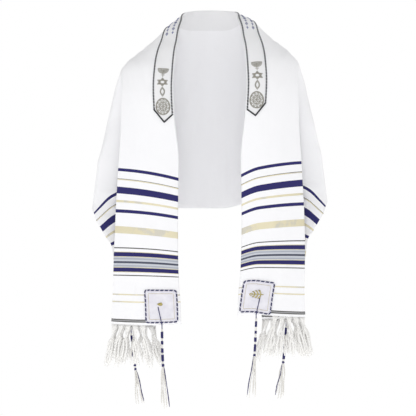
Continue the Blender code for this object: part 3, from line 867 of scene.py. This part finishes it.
def stitch_tree():
    """Stitches laid along an edge: one bead of thread at each step, slanted, on the surface."""
    tree = bpy.data.node_groups.new("stitches along an edge", "GeometryNodeTree")
    tree.interface.new_socket("Geometry", in_out="INPUT", socket_type="NodeSocketGeometry")
    for name in STITCH_INPUTS:
        tree.interface.new_socket(name, in_out="INPUT", socket_type="NodeSocketFloat")
    tree.interface.new_socket("Material", in_out="INPUT", socket_type="NodeSocketMaterial")
    tree.interface.new_socket("Geometry", in_out="OUTPUT", socket_type="NodeSocketGeometry")
    given = add_node(tree, "NodeGroupInput").outputs
    line = add_node(tree, "GeometryNodeMeshToCurve", links={"Mesh": given["Geometry"]})
    links = {"Curve": line.outputs[0], "Length": given["Step"]}
    spaced = add_node(tree, "GeometryNodeResampleCurve", {"mode": "LENGTH"}, links=links)
    out = add_node(tree, "GeometryNodeInputNamedAttribute", {"data_type": "FLOAT_VECTOR"}, {"Name": "out"})
    links = {"Vector": out.outputs["Attribute"]}
    upright = add_node(tree, "FunctionNodeAlignRotationToVector", {"axis": "Z"}, links=links)
    tangent = add_node(tree, "GeometryNodeInputTangent")
    options = {"axis": "X", "pivot_axis": "Z"}
    links = {"Rotation": upright.outputs[0], "Vector": tangent.outputs[0]}
    facing = add_node(tree, "FunctionNodeAlignRotationToVector", options, links=links)
    index = add_node(tree, "GeometryNodeInputIndex")
    parity = calculate(tree, "MODULO", index.outputs[0], 2.0)
    sign = calculate(tree, "MULTIPLY_ADD", calculate(tree, "MULTIPLY", parity, given["Zigzag"]), -2.0, 1.0)
    slant = calculate(tree, "MULTIPLY", sign, given["Slant"])
    spin = add_node(tree, "ShaderNodeCombineXYZ", links={2: slant})
    turn = add_node(tree, "FunctionNodeEulerToRotation", links={0: spin.outputs[0]})
    links = {0: facing.outputs[0], 1: turn.outputs[0]}
    turned = add_node(tree, "FunctionNodeRotateRotation", {"rotation_space": "LOCAL"}, links=links)
    bead = add_node(tree, "GeometryNodeMeshUVSphere", values={"Segments": 6, "Rings": 4, "Radius": 0.5})
    links = {0: given["Length"], 1: given["Width"], 2: given["Width"]}
    size = add_node(tree, "ShaderNodeCombineXYZ", links=links)
    turn_of_repeat = calculate(tree, "MODULO", index.outputs[0], given["Repeat"])
    dark = calculate(tree, "GREATER_THAN", turn_of_repeat, 0.5)
    options = {"data_type": "FLOAT", "domain": "POINT"}
    links = {"Geometry": spaced.outputs[0], "Value": dark}
    toned = add_node(tree, "GeometryNodeStoreNamedAttribute", options, {"Name": "tone"}, links)
    parts = {"Points": toned, "Instance": bead, "Rotation": turned, "Scale": size}
    links = {name: node.outputs[0] for name, node in parts.items()}
    stitches = add_node(tree, "GeometryNodeInstanceOnPoints", links=links)
    real = add_node(tree, "GeometryNodeRealizeInstances", links={0: stitches.outputs[0]})
    links = {"Geometry": real.outputs[0], "Material": given["Material"]}
    painted = add_node(tree, "GeometryNodeSetMaterial", links=links)
    finish = add_node(tree, "NodeGroupOutput")
    tree.links.new(painted.outputs[0], finish.inputs[0])
    return tree


def stitched(name, cloth, lines, closed, height, material, kind):
    """A plain mesh of one kind of stitch along lines, each of (along, across) places."""
    points, outs, edges = [], [], []
    for places in lines:
        first = len(points)
        for along, across in places:
            points.append(tuple(cloth.lifted(along, across, height)))
            outs.append(cloth.outward(along, across))
        last = len(points)
        edges += [(k, k + 1) for k in range(first, last - 1)]
        if closed:
            edges.append((last - 1, first))
    guide = bpy.data.meshes.new(name + "_guide")
    guide.from_pydata(points, edges, [])
    layer = guide.attributes.new("out", "FLOAT_VECTOR", "POINT")
    layer.data.foreach_set("vector", np.array(outs, dtype=np.float32).ravel())
    carrier = link_object(name + "_guide", guide)
    tree = bpy.data.node_groups.get("stitches along an edge") or stitch_tree()
    modifier = carrier.modifiers.new("stitches", "NODES")
    modifier.node_group = tree
    given = dict(zip(STITCH_INPUTS, STITCH_KINDS[kind]), Material=material)
    for item in tree.interface.items_tree:
        if item.in_out == "INPUT" and item.name in given:
            modifier[item.identifier] = given[item.name]
    bpy.context.view_layer.update()
    graph = bpy.context.evaluated_depsgraph_get()
    mesh = bpy.data.meshes.new_from_object(carrier.evaluated_get(graph))
    mesh.name = name
    bpy.data.objects.remove(carrier, do_unlink=True)
    mesh.shade_smooth()
    return link_object(name, mesh)


def embroider(yarn, cloth, strokes, centre, turn, height, radius, tone=0.0):
    """Lays thread along strokes given in millimetres from a centre on the cloth.

    The cloth's two directions aren't quite square to each other where it falls from the shoulder,
    so the strokes are turned into them from a square pair, the first of which runs along.
    """
    cos, sin = math.cos(turn), math.sin(turn)
    step = 0.004
    at, beside = centre
    down = (cloth.place(at + step, beside) - cloth.place(at - step, beside)) / (2 * step)
    over = (cloth.place(at, beside + step) - cloth.place(at, beside - step)) / (2 * step)
    first = down / np.linalg.norm(down)
    second = over - first * (over @ first)
    second /= np.linalg.norm(second)
    square = np.linalg.inv(np.array([[down @ first, over @ first], [down @ second, over @ second]]))
    for stroke in strokes:
        path = []
        for a, b in stroke:
            shift = square @ np.array([a * cos - b * sin, a * sin + b * cos]) / 1000
            path.append(cloth.lifted(at + shift[0], beside + shift[1], height))
        yarn.tube(np.array(path), radius, 5, tone)


def arc(centre, radius_a, radius_b, start, stop, count=14):
    """Places on an oval between two turns in degrees."""
    turns = np.radians(np.linspace(start, stop, count))
    return [(centre[0] + radius_a * math.cos(t), centre[1] + radius_b * math.sin(t)) for t in turns]


def line(start, end, count=5):
    """Places on a straight line."""
    shares = [k / (count - 1) for k in range(count)]
    return [tuple(a + (b - a) * share for a, b in zip(start, end)) for share in shares]


def lamp_strokes():
    """A seven-branched lamp with close arms, its foot away from the shoulder."""
    strokes = [line((-11, 0), (12, 0), 9), line((6.5, -4.5), (6.5, 4.5)), line((-11, -14), (-11, 14), 9)]
    for reach in (4.0, 6.4, 8.8, 11.2, 13.6):
        strokes.append(arc((-10.0, 0), reach * 0.92, reach, -90, 90, 17))
    return strokes


def star_strokes():
    """Two crossed triangles, each drawn twice."""
    strokes = []
    for first in (0, 180):
        for size in (1.0, 0.74):
            turns = [math.radians(first + k * 120) for k in range(4)]
            corners = [(11.0 * size * math.cos(t), 15.2 * size * math.sin(t)) for t in turns]
            strokes += [line(corners[k], corners[k + 1]) for k in range(3)]
    return strokes


def oval_strokes():
    """A pointed oval with a second one inside it."""
    shares = np.linspace(0, 1, 15)
    return [
        [(size * (-12 + 24 * t), side * size * 6.0 * math.sin(math.pi * t)) for t in shares]
        for size in (1.0, 0.72)
        for side in (-1, 1)
    ]


def rosette_strokes():
    """A round medallion: a double ring, a wreath of leaves and a six-petalled flower."""
    squash = MEDALLION_WIDTH_SHARE
    strokes = [arc((0, 0), reach, reach * squash, 0, 360, 41) for reach in (21.5, 19.6, 10.4)]

    def petal(middle, half_length, half_width, turn):
        cos, sin = math.cos(turn), math.sin(turn)
        oval = arc((middle, 0), half_length, half_width, 0, 360, 13)
        return [(a * cos - b * sin, squash * (a * sin + b * cos)) for a, b in oval]

    for k in range(11):
        strokes.append(petal(14.9, 3.4, 2.3, math.radians(k * 360 / 11 + 8)))
    for k in range(6):
        strokes.append(petal(5.2, 4.2, 2.1, math.radians(k * 60)))
    return strokes


def sprig_strokes():
    """A small stem with paired leaves and a bud."""
    strokes = [line((-10, 0), (10, 0), 7), arc((-11.5, 0), 2.4, 1.7, 0, 360, 11)]
    for a, reach in ((6, 7.5), (1, 6.5), (-4, 5.0)):
        for side in (-1, 1):
            outer = [(a - 2.2, side * reach * 0.55), (a - 5.4, side * reach), (a - 2.8, side * reach * 0.9)]
            strokes.append([(a, 0)] + outer + [(a, 0)])
    return strokes


def rounded_square(middle_along, middle_across, half, corner, count=6):
    """Places round a square with rounded corners, on the cloth, no further apart than 6 mm."""
    places = []
    for quarter, (sign_a, sign_b) in enumerate(((1, 1), (-1, 1), (-1, -1), (1, -1))):
        for k in range(count):
            turn = math.radians(90 * quarter + 90 * k / (count - 1))
            along = middle_along + sign_a * (half - corner) + corner * math.cos(turn)
            places.append((along, middle_across + sign_b * (half - corner) + corner * math.sin(turn)))
    filled = []
    for k, (a, b) in enumerate(places):
        a1, b1 = places[(k + 1) % len(places)]
        steps = max(int(math.hypot(a1 - a, b1 - b) / 0.006), 1)
        filled += [(a + (a1 - a) * s / steps, b + (b1 - b) * s / steps) for s in range(steps)]
    return filled


def patch_mesh(name, cloth, centre, middle, tilt):
    """The face of a corner patch, square with its four corners drawn in."""
    straight, half = 1 - PATCH_CORNER_SHARE, PATCH_SIZE / 2
    places, alongs, acrosses = [], [], []
    for a in np.linspace(-1, 1, 29):
        row = []
        for b in np.linspace(-1, 1, 29):
            over_a, over_b = max(abs(a) - straight, 0.0), max(abs(b) - straight, 0.0)
            pull = max(over_a, over_b) / math.hypot(over_a, over_b) if over_a * over_b > 0 else 1.0
            share_a = math.copysign(min(abs(a), straight) + over_a * pull, a)
            share_b = math.copysign(min(abs(b), straight) + over_b * pull, b)
            spot = (centre + share_a * half, middle + share_b * half)
            along, across = tilted([spot], centre, middle, tilt)[0]
            alongs.append(along)
            acrosses.append(across)
            row.append(cloth.lifted(along, across, SEAM_GAP))
        places.append(row)
    return grid_mesh(name, np.array(places), alongs, acrosses)


def tilted(places, middle_along, middle_across, tilt):
    """Places turned about a middle on the cloth."""
    cos, sin = math.cos(tilt), math.sin(tilt)
    return [
        (
            middle_along + (a - middle_along) * cos + (b - middle_across) * sin,
            middle_across + (b - middle_across) * cos - (a - middle_along) * sin,
        )
        for a, b in places
    ]


def end_frame(cloth, side, across):
    """Middle of the wall on a short end, with its outward and sideways directions."""
    end = side * HALF_LENGTH
    outward = cloth.outward(end - side * 0.003, across)
    over = cloth.place(end, min(across + 0.002, WIDTH)) - cloth.place(end, max(across - 0.002, 0.0))
    return cloth.place(end, across) - outward * 0.0005, outward, over / np.linalg.norm(over)


def tassel_places(cloth, side):
    """Distances across at which the fringe's tassels hang, between the sharp fold turns."""
    lines = across_lines(cloth.sections[0 if side < 0 else -1], SOLID_LINES)
    places = []
    for j in range(5, len(lines) - 5):
        length = lines[j + 1] - lines[j]
        count = int(length / TASSEL_PITCH + 0.35)
        places += [lines[j] + length * (k + 0.5) / count for k in range(count)]
    return places


def knotted_tassel(yarn, cloth, side, across, chance):
    """Warp threads gathered into a knot, with loose twisted yarns below it."""
    place, outward, beside = end_frame(cloth, side, across)
    hang = np.array([0.0, 0.0, -1.0])
    # The bunches part where the rear tassel hangs between them.
    apart = 0.20 * math.tanh((abs(place[0]) - TASSEL_GAP_AT) / 0.016) + chance.uniform(-0.05, 0.05)
    away = np.array([math.copysign(apart, place[0] * apart), 0.0, 0.0])
    sway = away + outward * chance.uniform(-0.05, 0.05)
    knot = chance.uniform(*KNOT_DEPTHS)
    centre = place + (hang + sway) * knot
    for k in range(WARP_THREADS):
        spot = min(max(across + (k - WARP_THREADS // 2) * 0.0018, 0.0), WIDTH)
        start = cloth.place(side * HALF_LENGTH, spot) - outward * 0.0005
        middle = start * 0.42 + centre * 0.58 + outward * chance.uniform(-0.0008, 0.0008)
        yarn.tube(smooth_path([start, middle, centre], 7), 0.00078, 4)
    # The knot's winding is drawn slightly darker: painted shade.
    turns = np.linspace(0, 2 * math.pi * 2.6, 26)
    winding = [
        centre
        + (beside * math.cos(t) + outward * math.sin(t)) * 0.0019
        + hang * 0.0034 * (2 * t / turns[-1] - 1)
        for t in turns
    ]
    yarn.tube(np.array(winding), 0.0018, 6, 0.1)
    length = chance.uniform(*FRINGE_LENGTHS) - knot
    for k in range(LOOSE_YARNS):
        angle = 2 * math.pi * (k + chance.uniform(-0.25, 0.25)) / LOOSE_YARNS
        spread = beside * math.cos(angle) * 0.0074 + outward * math.sin(angle) * 0.0046
        curl = beside * chance.uniform(-0.0028, 0.0028) + outward * chance.uniform(-0.0014, 0.0014)
        own = length * chance.uniform(0.74, 1.0)
        points = [
            centre + (hang + sway) * own * share + spread * reach + curl * math.sin(share * 7 + k)
            for share, reach in ((0.0, 0.16), (0.12, 0.5), (0.35, 0.85), (0.65, 1.0), (1.0, 0.9))
        ]
        path = smooth_path(points, 22)
        shares = np.linspace(0, 1, len(path))
        taper = np.interp(shares, [0, 0.1, 0.85, 1.0], [0.55, 1.0, 0.95, 0.45])
        # Painted shade: each loose yarn is drawn darker near the knot and fades to white towards its end.
        tone = np.interp(shares, [0, 0.15, 1.0], [0.30, 0.08, 0.0])
        yarn.twisted(path, 0.00190, 0.00145, 0.015 + 0.003 * chance.random(), tone, taper)


# Where the shaft's winding is navy, and where it is knotted, as shares of its length.
NAVY_WINDINGS = ((0.06, 0.24), (0.31, 0.42), (0.50, 0.62), (0.70, 0.86), (0.94, 1.0))
SHAFT_KNOTS = (0.02, 0.27, 0.46, 0.66, 0.90)


def corner_tassel(yarn, cloth, side, hole, across, length, lean, chance):
    """A loop through the corner, a shaft wound with cord between knots, and eight strands."""
    place, outward, _ = end_frame(cloth, side, across)
    hang = np.array([0.0, 0.0, -1.0])
    flat = np.cross(hang, outward)
    flat *= math.copysign(1 / np.linalg.norm(flat), flat[0])
    forward = np.cross(flat, hang)
    inward = np.array([-side, 0.0, 0.0])
    fall = hang + inward * lean
    head = place + hang * 0.010

    def centre_at(drop):
        return head + fall * drop - inward * TASSEL_BEND * math.sin(drop / 0.06)

    # The loop is drawn all navy: partly the cord's own navy, partly painted shade over its white strands,
    # which hang in shadow.
    for front in (1, -1):
        height = 0.0020 if front > 0 else -0.0023
        path = [cloth.lifted(side * hole, across + HOLE_SHIFT, 0.0 if front > 0 else -0.0012)]
        for share in (0.15, 0.5, 0.85, 1.0):
            spot = side * (hole + (HALF_LENGTH - hole) * share)
            path.append(cloth.lifted(spot, across + HOLE_SHIFT * (1 - share), height))
        path.append(head + outward * 0.0012 * front + hang * 0.001)
        path.append(head + hang * 0.006)
        yarn.twisted(smooth_path(path, 40), 0.00090, 0.00072, 0.0065, 1.0)
    shaft = np.array([centre_at(d) for d in np.linspace(0, TASSEL_SHAFT_LENGTH, 40)])
    yarn.tube(shaft, 0.0012, 8, 0.3)
    steps = SHAFT_TURNS * POINTS_PER_TURN
    shares = np.linspace(0, 1, steps)
    _, first, second = frames_along(shaft)
    marks = np.linspace(0, 1, len(shaft))
    middle, ahead, aside = (
        np.column_stack([np.interp(shares, marks, values[:, i]) for i in range(3)])
        for values in (shaft, first, second)
    )
    around = (2 * math.pi * SHAFT_TURNS * shares)[:, None]
    swell = np.full(steps, 0.0014)
    for knot in SHAFT_KNOTS:
        swell += 0.0009 * np.exp(-(((shares - knot) / 0.022) ** 2))
    tone = np.zeros(steps)
    for start, stop in NAVY_WINDINGS:
        start, stop = start + chance.uniform(-0.02, 0.02), stop + chance.uniform(-0.02, 0.02)
        inside = (shares >= start) & (shares <= stop)
        tone[inside] = 1.0
        swell[inside] = chance.uniform(0.0024, 0.0031)
    wound = middle + (np.cos(around) * ahead + np.sin(around) * aside) * swell[:, None]
    yarn.tube(wound, 0.00085, 5, tone)
    bottom = centre_at(TASSEL_SHAFT_LENGTH)
    dark = 7 if side < 0 else 4
    for k in range(CORNER_STRANDS):
        turn = math.radians(22.5 + 360 / CORNER_STRANDS * k + chance.uniform(-8, 8))
        away = flat * math.cos(turn) + forward * math.sin(turn)
        own = length - TASSEL_SHAFT_LENGTH + chance.uniform(-0.010, 0.006)
        bend = (flat * chance.uniform(-1, 1) + forward * chance.uniform(-1, 1)) * 0.0022
        points = [
            bottom
            + fall * own * share
            + away * reach
            + bend * math.sin(share * 6)
            for share, reach in ((0.0, 0.0012), (0.1, 0.0034), (0.35, 0.0062), (0.68, 0.0086), (1.0, 0.0112))
        ]
        path = smooth_path(points, 44)
        taper = np.interp(np.linspace(0, 1, len(path)), [0, 0.9, 1.0], [1.0, 1.0, 0.6])
        yarn.twisted(path, 0.00095, 0.00080, 0.0062, 1.0 if k == dark else 0.0, taper)


class ShawlSettings(bpy.types.PropertyGroup):
    """Sizes and colours of the shawl."""

    white: FloatVectorProperty(
        name="White yarn", description="Ground of the cloth", subtype="COLOR", default=linear("#F6F6F8")[:3]
    )
    navy: FloatVectorProperty(
        name="Navy yarn", description="Dark stripes", subtype="COLOR", default=linear("#1F1C60")[:3]
    )
    gold: FloatVectorProperty(
        name="Gold yarn", description="Metallic stripes", subtype="COLOR", default=linear("#D8CDA2")[:3]
    )
    thread_pitch: FloatProperty(
        name="Thread pitch", description="Distance between the drawn threads", default=0.0011, unit="LENGTH"
    )
    cloth_thickness: FloatProperty(
        name="Cloth thickness", description="Thickness of the woven wall", default=0.0009, unit="LENGTH"
    )
    row_step: FloatProperty(
        name="Row step", description="Length of one facet of the fine cloth", default=0.005, unit="LENGTH"
    )
    lines: IntProperty(name="Lines", description="Lines between the two patch zones", default=84)


MADE = {}


def settings():
    return bpy.context.scene.shawl_settings


def fine_cloth():
    """The fine cloth, worked out once."""
    if "cloth" not in MADE:
        MADE["cloth"] = Cloth(settings().row_step, settings().lines)
    return MADE["cloth"]


def finish_piece(made, slot, *nodes):
    """Hands a piece to the frame and hides the solids that it stands for. Its slot is not used."""
    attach(made, "root")
    if nodes:
        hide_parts(*nodes)
    MADE.setdefault("pieces", []).append(made)


def finish_threads(name, yarn, material, slot, *nodes):
    """Makes gathered threads a piece and hands it to the frame."""
    finish_piece(link_object(name, yarn.mesh(name), material), slot, *nodes)


class SHAWL_OT_cloth(bpy.types.Operator):
    """Build the woven cloth with its stripes, folds and creases"""

    bl_idname = "shawl.cloth"
    bl_label = "Cloth"

    def execute(self, context):
        cloth = fine_cloth()
        spread = np.repeat(cloth.along[:, None], cloth.across.shape[1], axis=1)
        mesh = grid_mesh("woven_cloth", cloth.grid, spread, cloth.across)
        made = link_object("woven_cloth", mesh, woven_cloth_material(settings()))
        give_wall(made, settings().cloth_thickness, -1)
        finish_piece(made, "shawl", "shawl")
        return {"FINISHED"}


class SHAWL_OT_neckband(bpy.types.Operator):
    """Build the neckband with its border and embroidered figures"""

    bl_idname = "shawl.neckband"
    bl_label = "Neckband"

    def execute(self, context):
        cloth = fine_cloth()
        middle, half = BAND_MIDDLE, BAND_HALF
        places, alongs, acrosses = [], [], []
        for along in np.linspace(-1, 1, 221):
            row = []
            for share in np.linspace(-1, 1, 15):
                at = along * (BAND_POINT - (BAND_POINT - BAND_STRAIGHT_END) * abs(share))
                across = middle + share * half
                row.append(cloth.lifted(at, across, SEAM_GAP))
                alongs.append(at)
                acrosses.append(across)
            places.append(row)
        mesh = grid_mesh("neckband_brocade", np.array(places), alongs, acrosses)
        band = link_object("neckband_brocade", mesh, brocade_material())
        give_wall(band, LAYER, 1)
        finish_piece(band, "neckband", "neckband")

        top = SEAM_GAP + LAYER + 0.0003
        charcoal = yarn_material("charcoal and silver stitching", "#B9BBC0", "#26262C", 0.6)
        near, far = BAND_NEAR + BORDER_INSET, BAND_FAR - BORDER_INSET
        straight, tip = BAND_STRAIGHT_END - 0.001, BAND_POINT - 0.003
        run = np.linspace(-straight, straight, 190)
        outline = [(a, far) for a in run] + [(tip, middle)]
        outline += [(a, near) for a in run[::-1]] + [(-tip, middle)]
        finish_piece(
            stitched("neckband_border", cloth, [outline], True, top, charcoal, "border"), "neckband"
        )
        black = yarn_material("black stitching", "#1B1B22", "#101016", 0.6)
        ends = [[(side * straight, far), (side * tip, middle), (side * straight, near)] for side in (-1, 1)]
        finish_piece(
            stitched("neckband_points", cloth, ends, False, top + 0.0004, black, "point"), "neckband"
        )

        figures, blue = Yarn(), Yarn()
        for side in (-1, 1):
            turn = 0.0 if side > 0 else math.pi
            for strokes, at in (
                (lamp_strokes(), LAMP_AT),
                (star_strokes(), STAR_AT),
                (oval_strokes(), OVAL_AT),
                (rosette_strokes(), ROSETTE_AT),
            ):
                embroider(figures, cloth, strokes, (side * at, middle), turn, top, 0.00085)
            diamond = [[(-5, 0), (0, 3.4), (5, 0), (0, -3.4), (-5, 0)], [(-1.2, 0), (1.2, 0)]]
            cross = [line((-4.5, 0), (4.5, 0), 3), line((0, -3), (0, 3), 3)]
            for row, across in enumerate((0.020, 0.039)):
                for k in range(6):
                    along = side * (0.118 + 0.0125 * k + 0.004 * row)
                    strokes = (diamond, cross)[(k + row) % 2]
                    embroider(blue, cloth, strokes, (along, across), turn, top, 0.00075)
        silver = yarn_material("antique silver thread", "#A3A096", "#77746A", 0.5, 0.3)
        finish_threads("neckband_figures", figures, silver, "neckband")
        blue_thread = yarn_material("blue thread", "#3D4A8C", "#2A3370", 0.6)
        finish_threads("neckband_ornament", blue, blue_thread, "neckband")
        return {"FINISHED"}


class SHAWL_OT_patches(bpy.types.Operator):
    """Build the four corner patches with their twisted border and gold thread"""

    bl_idname = "shawl.patches"
    bl_label = "Corner patches"

    def execute(self, context):
        cloth = fine_cloth()
        satin = satin_material()
        rope = yarn_material("blue and white twisted cord", "#DDDDE6", "#1C1A58", 0.6)
        gold = yarn_material("gold thread", "#C9BA72", "#A8924C", 0.4, 0.5)
        olive = yarn_material("olive thread", "#6E6A45", "#4C4A30", 0.6)
        half = PATCH_SIZE / 2
        top = SEAM_GAP + LAYER
        edges = (("front", PATCH_FROM_EDGE + half), ("back", WIDTH - PATCH_FROM_EDGE - half))
        for (side_name, side), (where, middle) in product((("left", -1), ("right", 1)), edges):
            name = f"patch_{where}_{side_name}"
            centre = side * (HALF_LENGTH - PATCH_FROM_END - half)
            tilt = PATCH_TILT if name == "patch_front_right" else 0.0
            mesh = patch_mesh(name + "_satin", cloth, centre, middle, tilt)
            patch = link_object(name + "_satin", mesh, satin)
            give_wall(patch, LAYER, 1)
            finish_piece(patch, "patch", name)
            for part, inset, corner, count, lift, thread in (
                ("cord", 0.0012, 0.006, 6, 0.0004, rope),
                ("line", 0.0095, 0.001, 2, 0.0001, gold),
            ):
                square = rounded_square(centre, middle, half - inset, corner, count)
                path = tilted(square, centre, middle, tilt)
                made = stitched(f"{name}_{part}", cloth, [path], True, top + lift, thread, part)
                finish_piece(made, "patch")
            turn = side * math.pi / 2
            size = 1.5 if side > 0 else 0.55
            strokes = [[(a * size, b * size) for a, b in stroke] for stroke in sprig_strokes()]
            spot = (centre - side * 0.006, middle + 0.002)
            for part, lift, radius, thread in (
                ("outline", 0.0001, 0.0013, olive),
                ("sprig", 0.0010, 0.0009, gold),
            ):
                yarn = Yarn()
                embroider(yarn, cloth, strokes, spot, turn, top + lift, radius)
                finish_threads(f"{name}_{part}", yarn, thread, "patch")
        return {"FINISHED"}


class SHAWL_OT_fringe(bpy.types.Operator):
    """Build the knotted fringe on both short ends"""

    bl_idname = "shawl.fringe"
    bl_label = "Fringe"

    def execute(self, context):
        cloth = fine_cloth()
        # White warp yarn; its dark colour is painted shade near the knots.
        material = yarn_material("white warp yarn with painted shade", "#FDFCFA", "#C9C5BC", 0.9)
        for name, side, seed in (("left", -1, 3), ("right", 1, 8)):
            chance = random.Random(seed)
            yarn = Yarn()
            for across in tassel_places(cloth, side):
                knotted_tassel(yarn, cloth, side, across, chance)
            finish_threads(f"fringe_yarns_{name}", yarn, material, "fringe", f"fringe_{name}")
        return {"FINISHED"}


class SHAWL_OT_corner_tassels(bpy.types.Operator):
    """Build the four wound corner tassels"""

    bl_idname = "shawl.corner_tassels"
    bl_label = "Corner tassels"

    def execute(self, context):
        cloth = fine_cloth()
        material = yarn_material("white and navy wool cord", "#F1EFEA", "#262466", 0.8)
        middle = HALF_LENGTH - PATCH_FROM_END - PATCH_SIZE / 2
        for name, side, across, hole, length, lean, seed in (
            ("tassel_front_left", -1, 0.050, middle, FRONT_TASSEL_LENGTH, 0.06, 20),
            ("tassel_front_right", 1, 0.050, middle, FRONT_TASSEL_LENGTH, 0.08, 22),
            ("tassel_back_left", -1, WIDTH - 0.034, middle + 0.02, REAR_TASSEL_LENGTH, 0.15, 30),
            ("tassel_back_right", 1, WIDTH - 0.034, middle + 0.02, REAR_TASSEL_LENGTH, 0.11, 32),
        ):
            yarn = Yarn()
            corner_tassel(yarn, cloth, side, hole, across, length, lean, random.Random(seed))
            finish_threads(name + "_cord", yarn, material, "tassel", name)
        return {"FINISHED"}


class SHAWL_OT_stage(bpy.types.Operator):
    """Set the pale floor, the soft studio light and the camera"""

    bl_idname = "shawl.stage"
    bl_label = "Stage"

    def execute(self, context):
        floor_z = SOLID_BOX[0][2] - FLOOR_BELOW
        corners = [
            (x * FLOOR_REACH, y * FLOOR_REACH, floor_z) for x, y in ((-1, -1), (1, -1), (1, 1), (-1, 1))
        ]
        mesh = bpy.data.meshes.new("floor")
        mesh.from_pydata(corners, [], [(0, 1, 2, 3)])
        link_object("floor", mesh, floor_material())

        world = bpy.data.worlds.new("studio air")
        bpy.context.scene.world = world
        world.use_nodes = True
        background = world.node_tree.nodes["Background"]
        background.inputs["Color"].default_value = linear("#FFFFFF")
        # The air is seen as white paper would be, and gives less light than that.
        seen = add_node(world.node_tree, "ShaderNodeLightPath").outputs["Is Camera Ray"]
        strength = calculate(world.node_tree, "MULTIPLY_ADD", seen, AIR_SEEN - AIR_LIGHT, AIR_LIGHT)
        world.node_tree.links.new(strength, background.inputs["Strength"])
        for name, place, aim, size, power in LAMPS:
            data = bpy.data.lights.new(name, "AREA")
            data.energy = power
            data.size = size
            lamp = bpy.data.objects.new(name, data)
            lamp.location = place
            lamp.rotation_euler = (Vector(aim) - Vector(place)).to_track_quat("-Z", "Y").to_euler()
            lamp.visible_camera = False
            bpy.context.scene.collection.objects.link(lamp)

        data = bpy.data.cameras.new("camera")
        data.sensor_width = 36.0
        data.lens = 320.0
        camera = bpy.data.objects.new("camera", data)
        away = VIEW_BREADTH * data.lens / data.sensor_width
        camera.location = (VIEW_CENTRE[0], VIEW_CENTRE[1] - away, VIEW_CENTRE[2])
        camera.rotation_euler = (math.pi / 2, 0.0, 0.0)
        bpy.context.scene.collection.objects.link(camera)
        bpy.context.scene.camera = camera
        bpy.context.scene.view_settings.view_transform = "Standard"
        return {"FINISHED"}


class SHAWL_PT_panel(bpy.types.Panel):
    """Lists the shawl's operators"""

    bl_label = "Prayer Shawl"
    bl_idname = "SHAWL_PT_panel"
    bl_space_type = "VIEW_3D"
    bl_region_type = "UI"
    bl_category = "Shawl"

    def draw(self, context):
        for name in ("white", "navy", "gold", "thread_pitch", "cloth_thickness", "row_step", "lines"):
            self.layout.prop(context.scene.shawl_settings, name)
        for operator in OPERATORS:
            self.layout.operator(operator.bl_idname)


OPERATORS = (
    SHAWL_OT_cloth,
    SHAWL_OT_neckband,
    SHAWL_OT_patches,
    SHAWL_OT_fringe,
    SHAWL_OT_corner_tassels,
    SHAWL_OT_stage,
)
CLASSES = (ShawlSettings, *OPERATORS, SHAWL_PT_panel)


def register():
    for item in CLASSES:
        bpy.utils.register_class(item)
    bpy.types.Scene.shawl_settings = PointerProperty(type=ShawlSettings)


def unregister():
    del bpy.types.Scene.shawl_settings
    for item in reversed(CLASSES):
        bpy.utils.unregister_class(item)


def main():
    """Builds every piece and the stage."""
    register()
    bpy.ops.shawl.cloth()
    bpy.ops.shawl.neckband()
    bpy.ops.shawl.patches()
    bpy.ops.shawl.fringe()
    bpy.ops.shawl.corner_tassels()
    bpy.ops.shawl.stage()


if __name__ == "__main__":
    main()
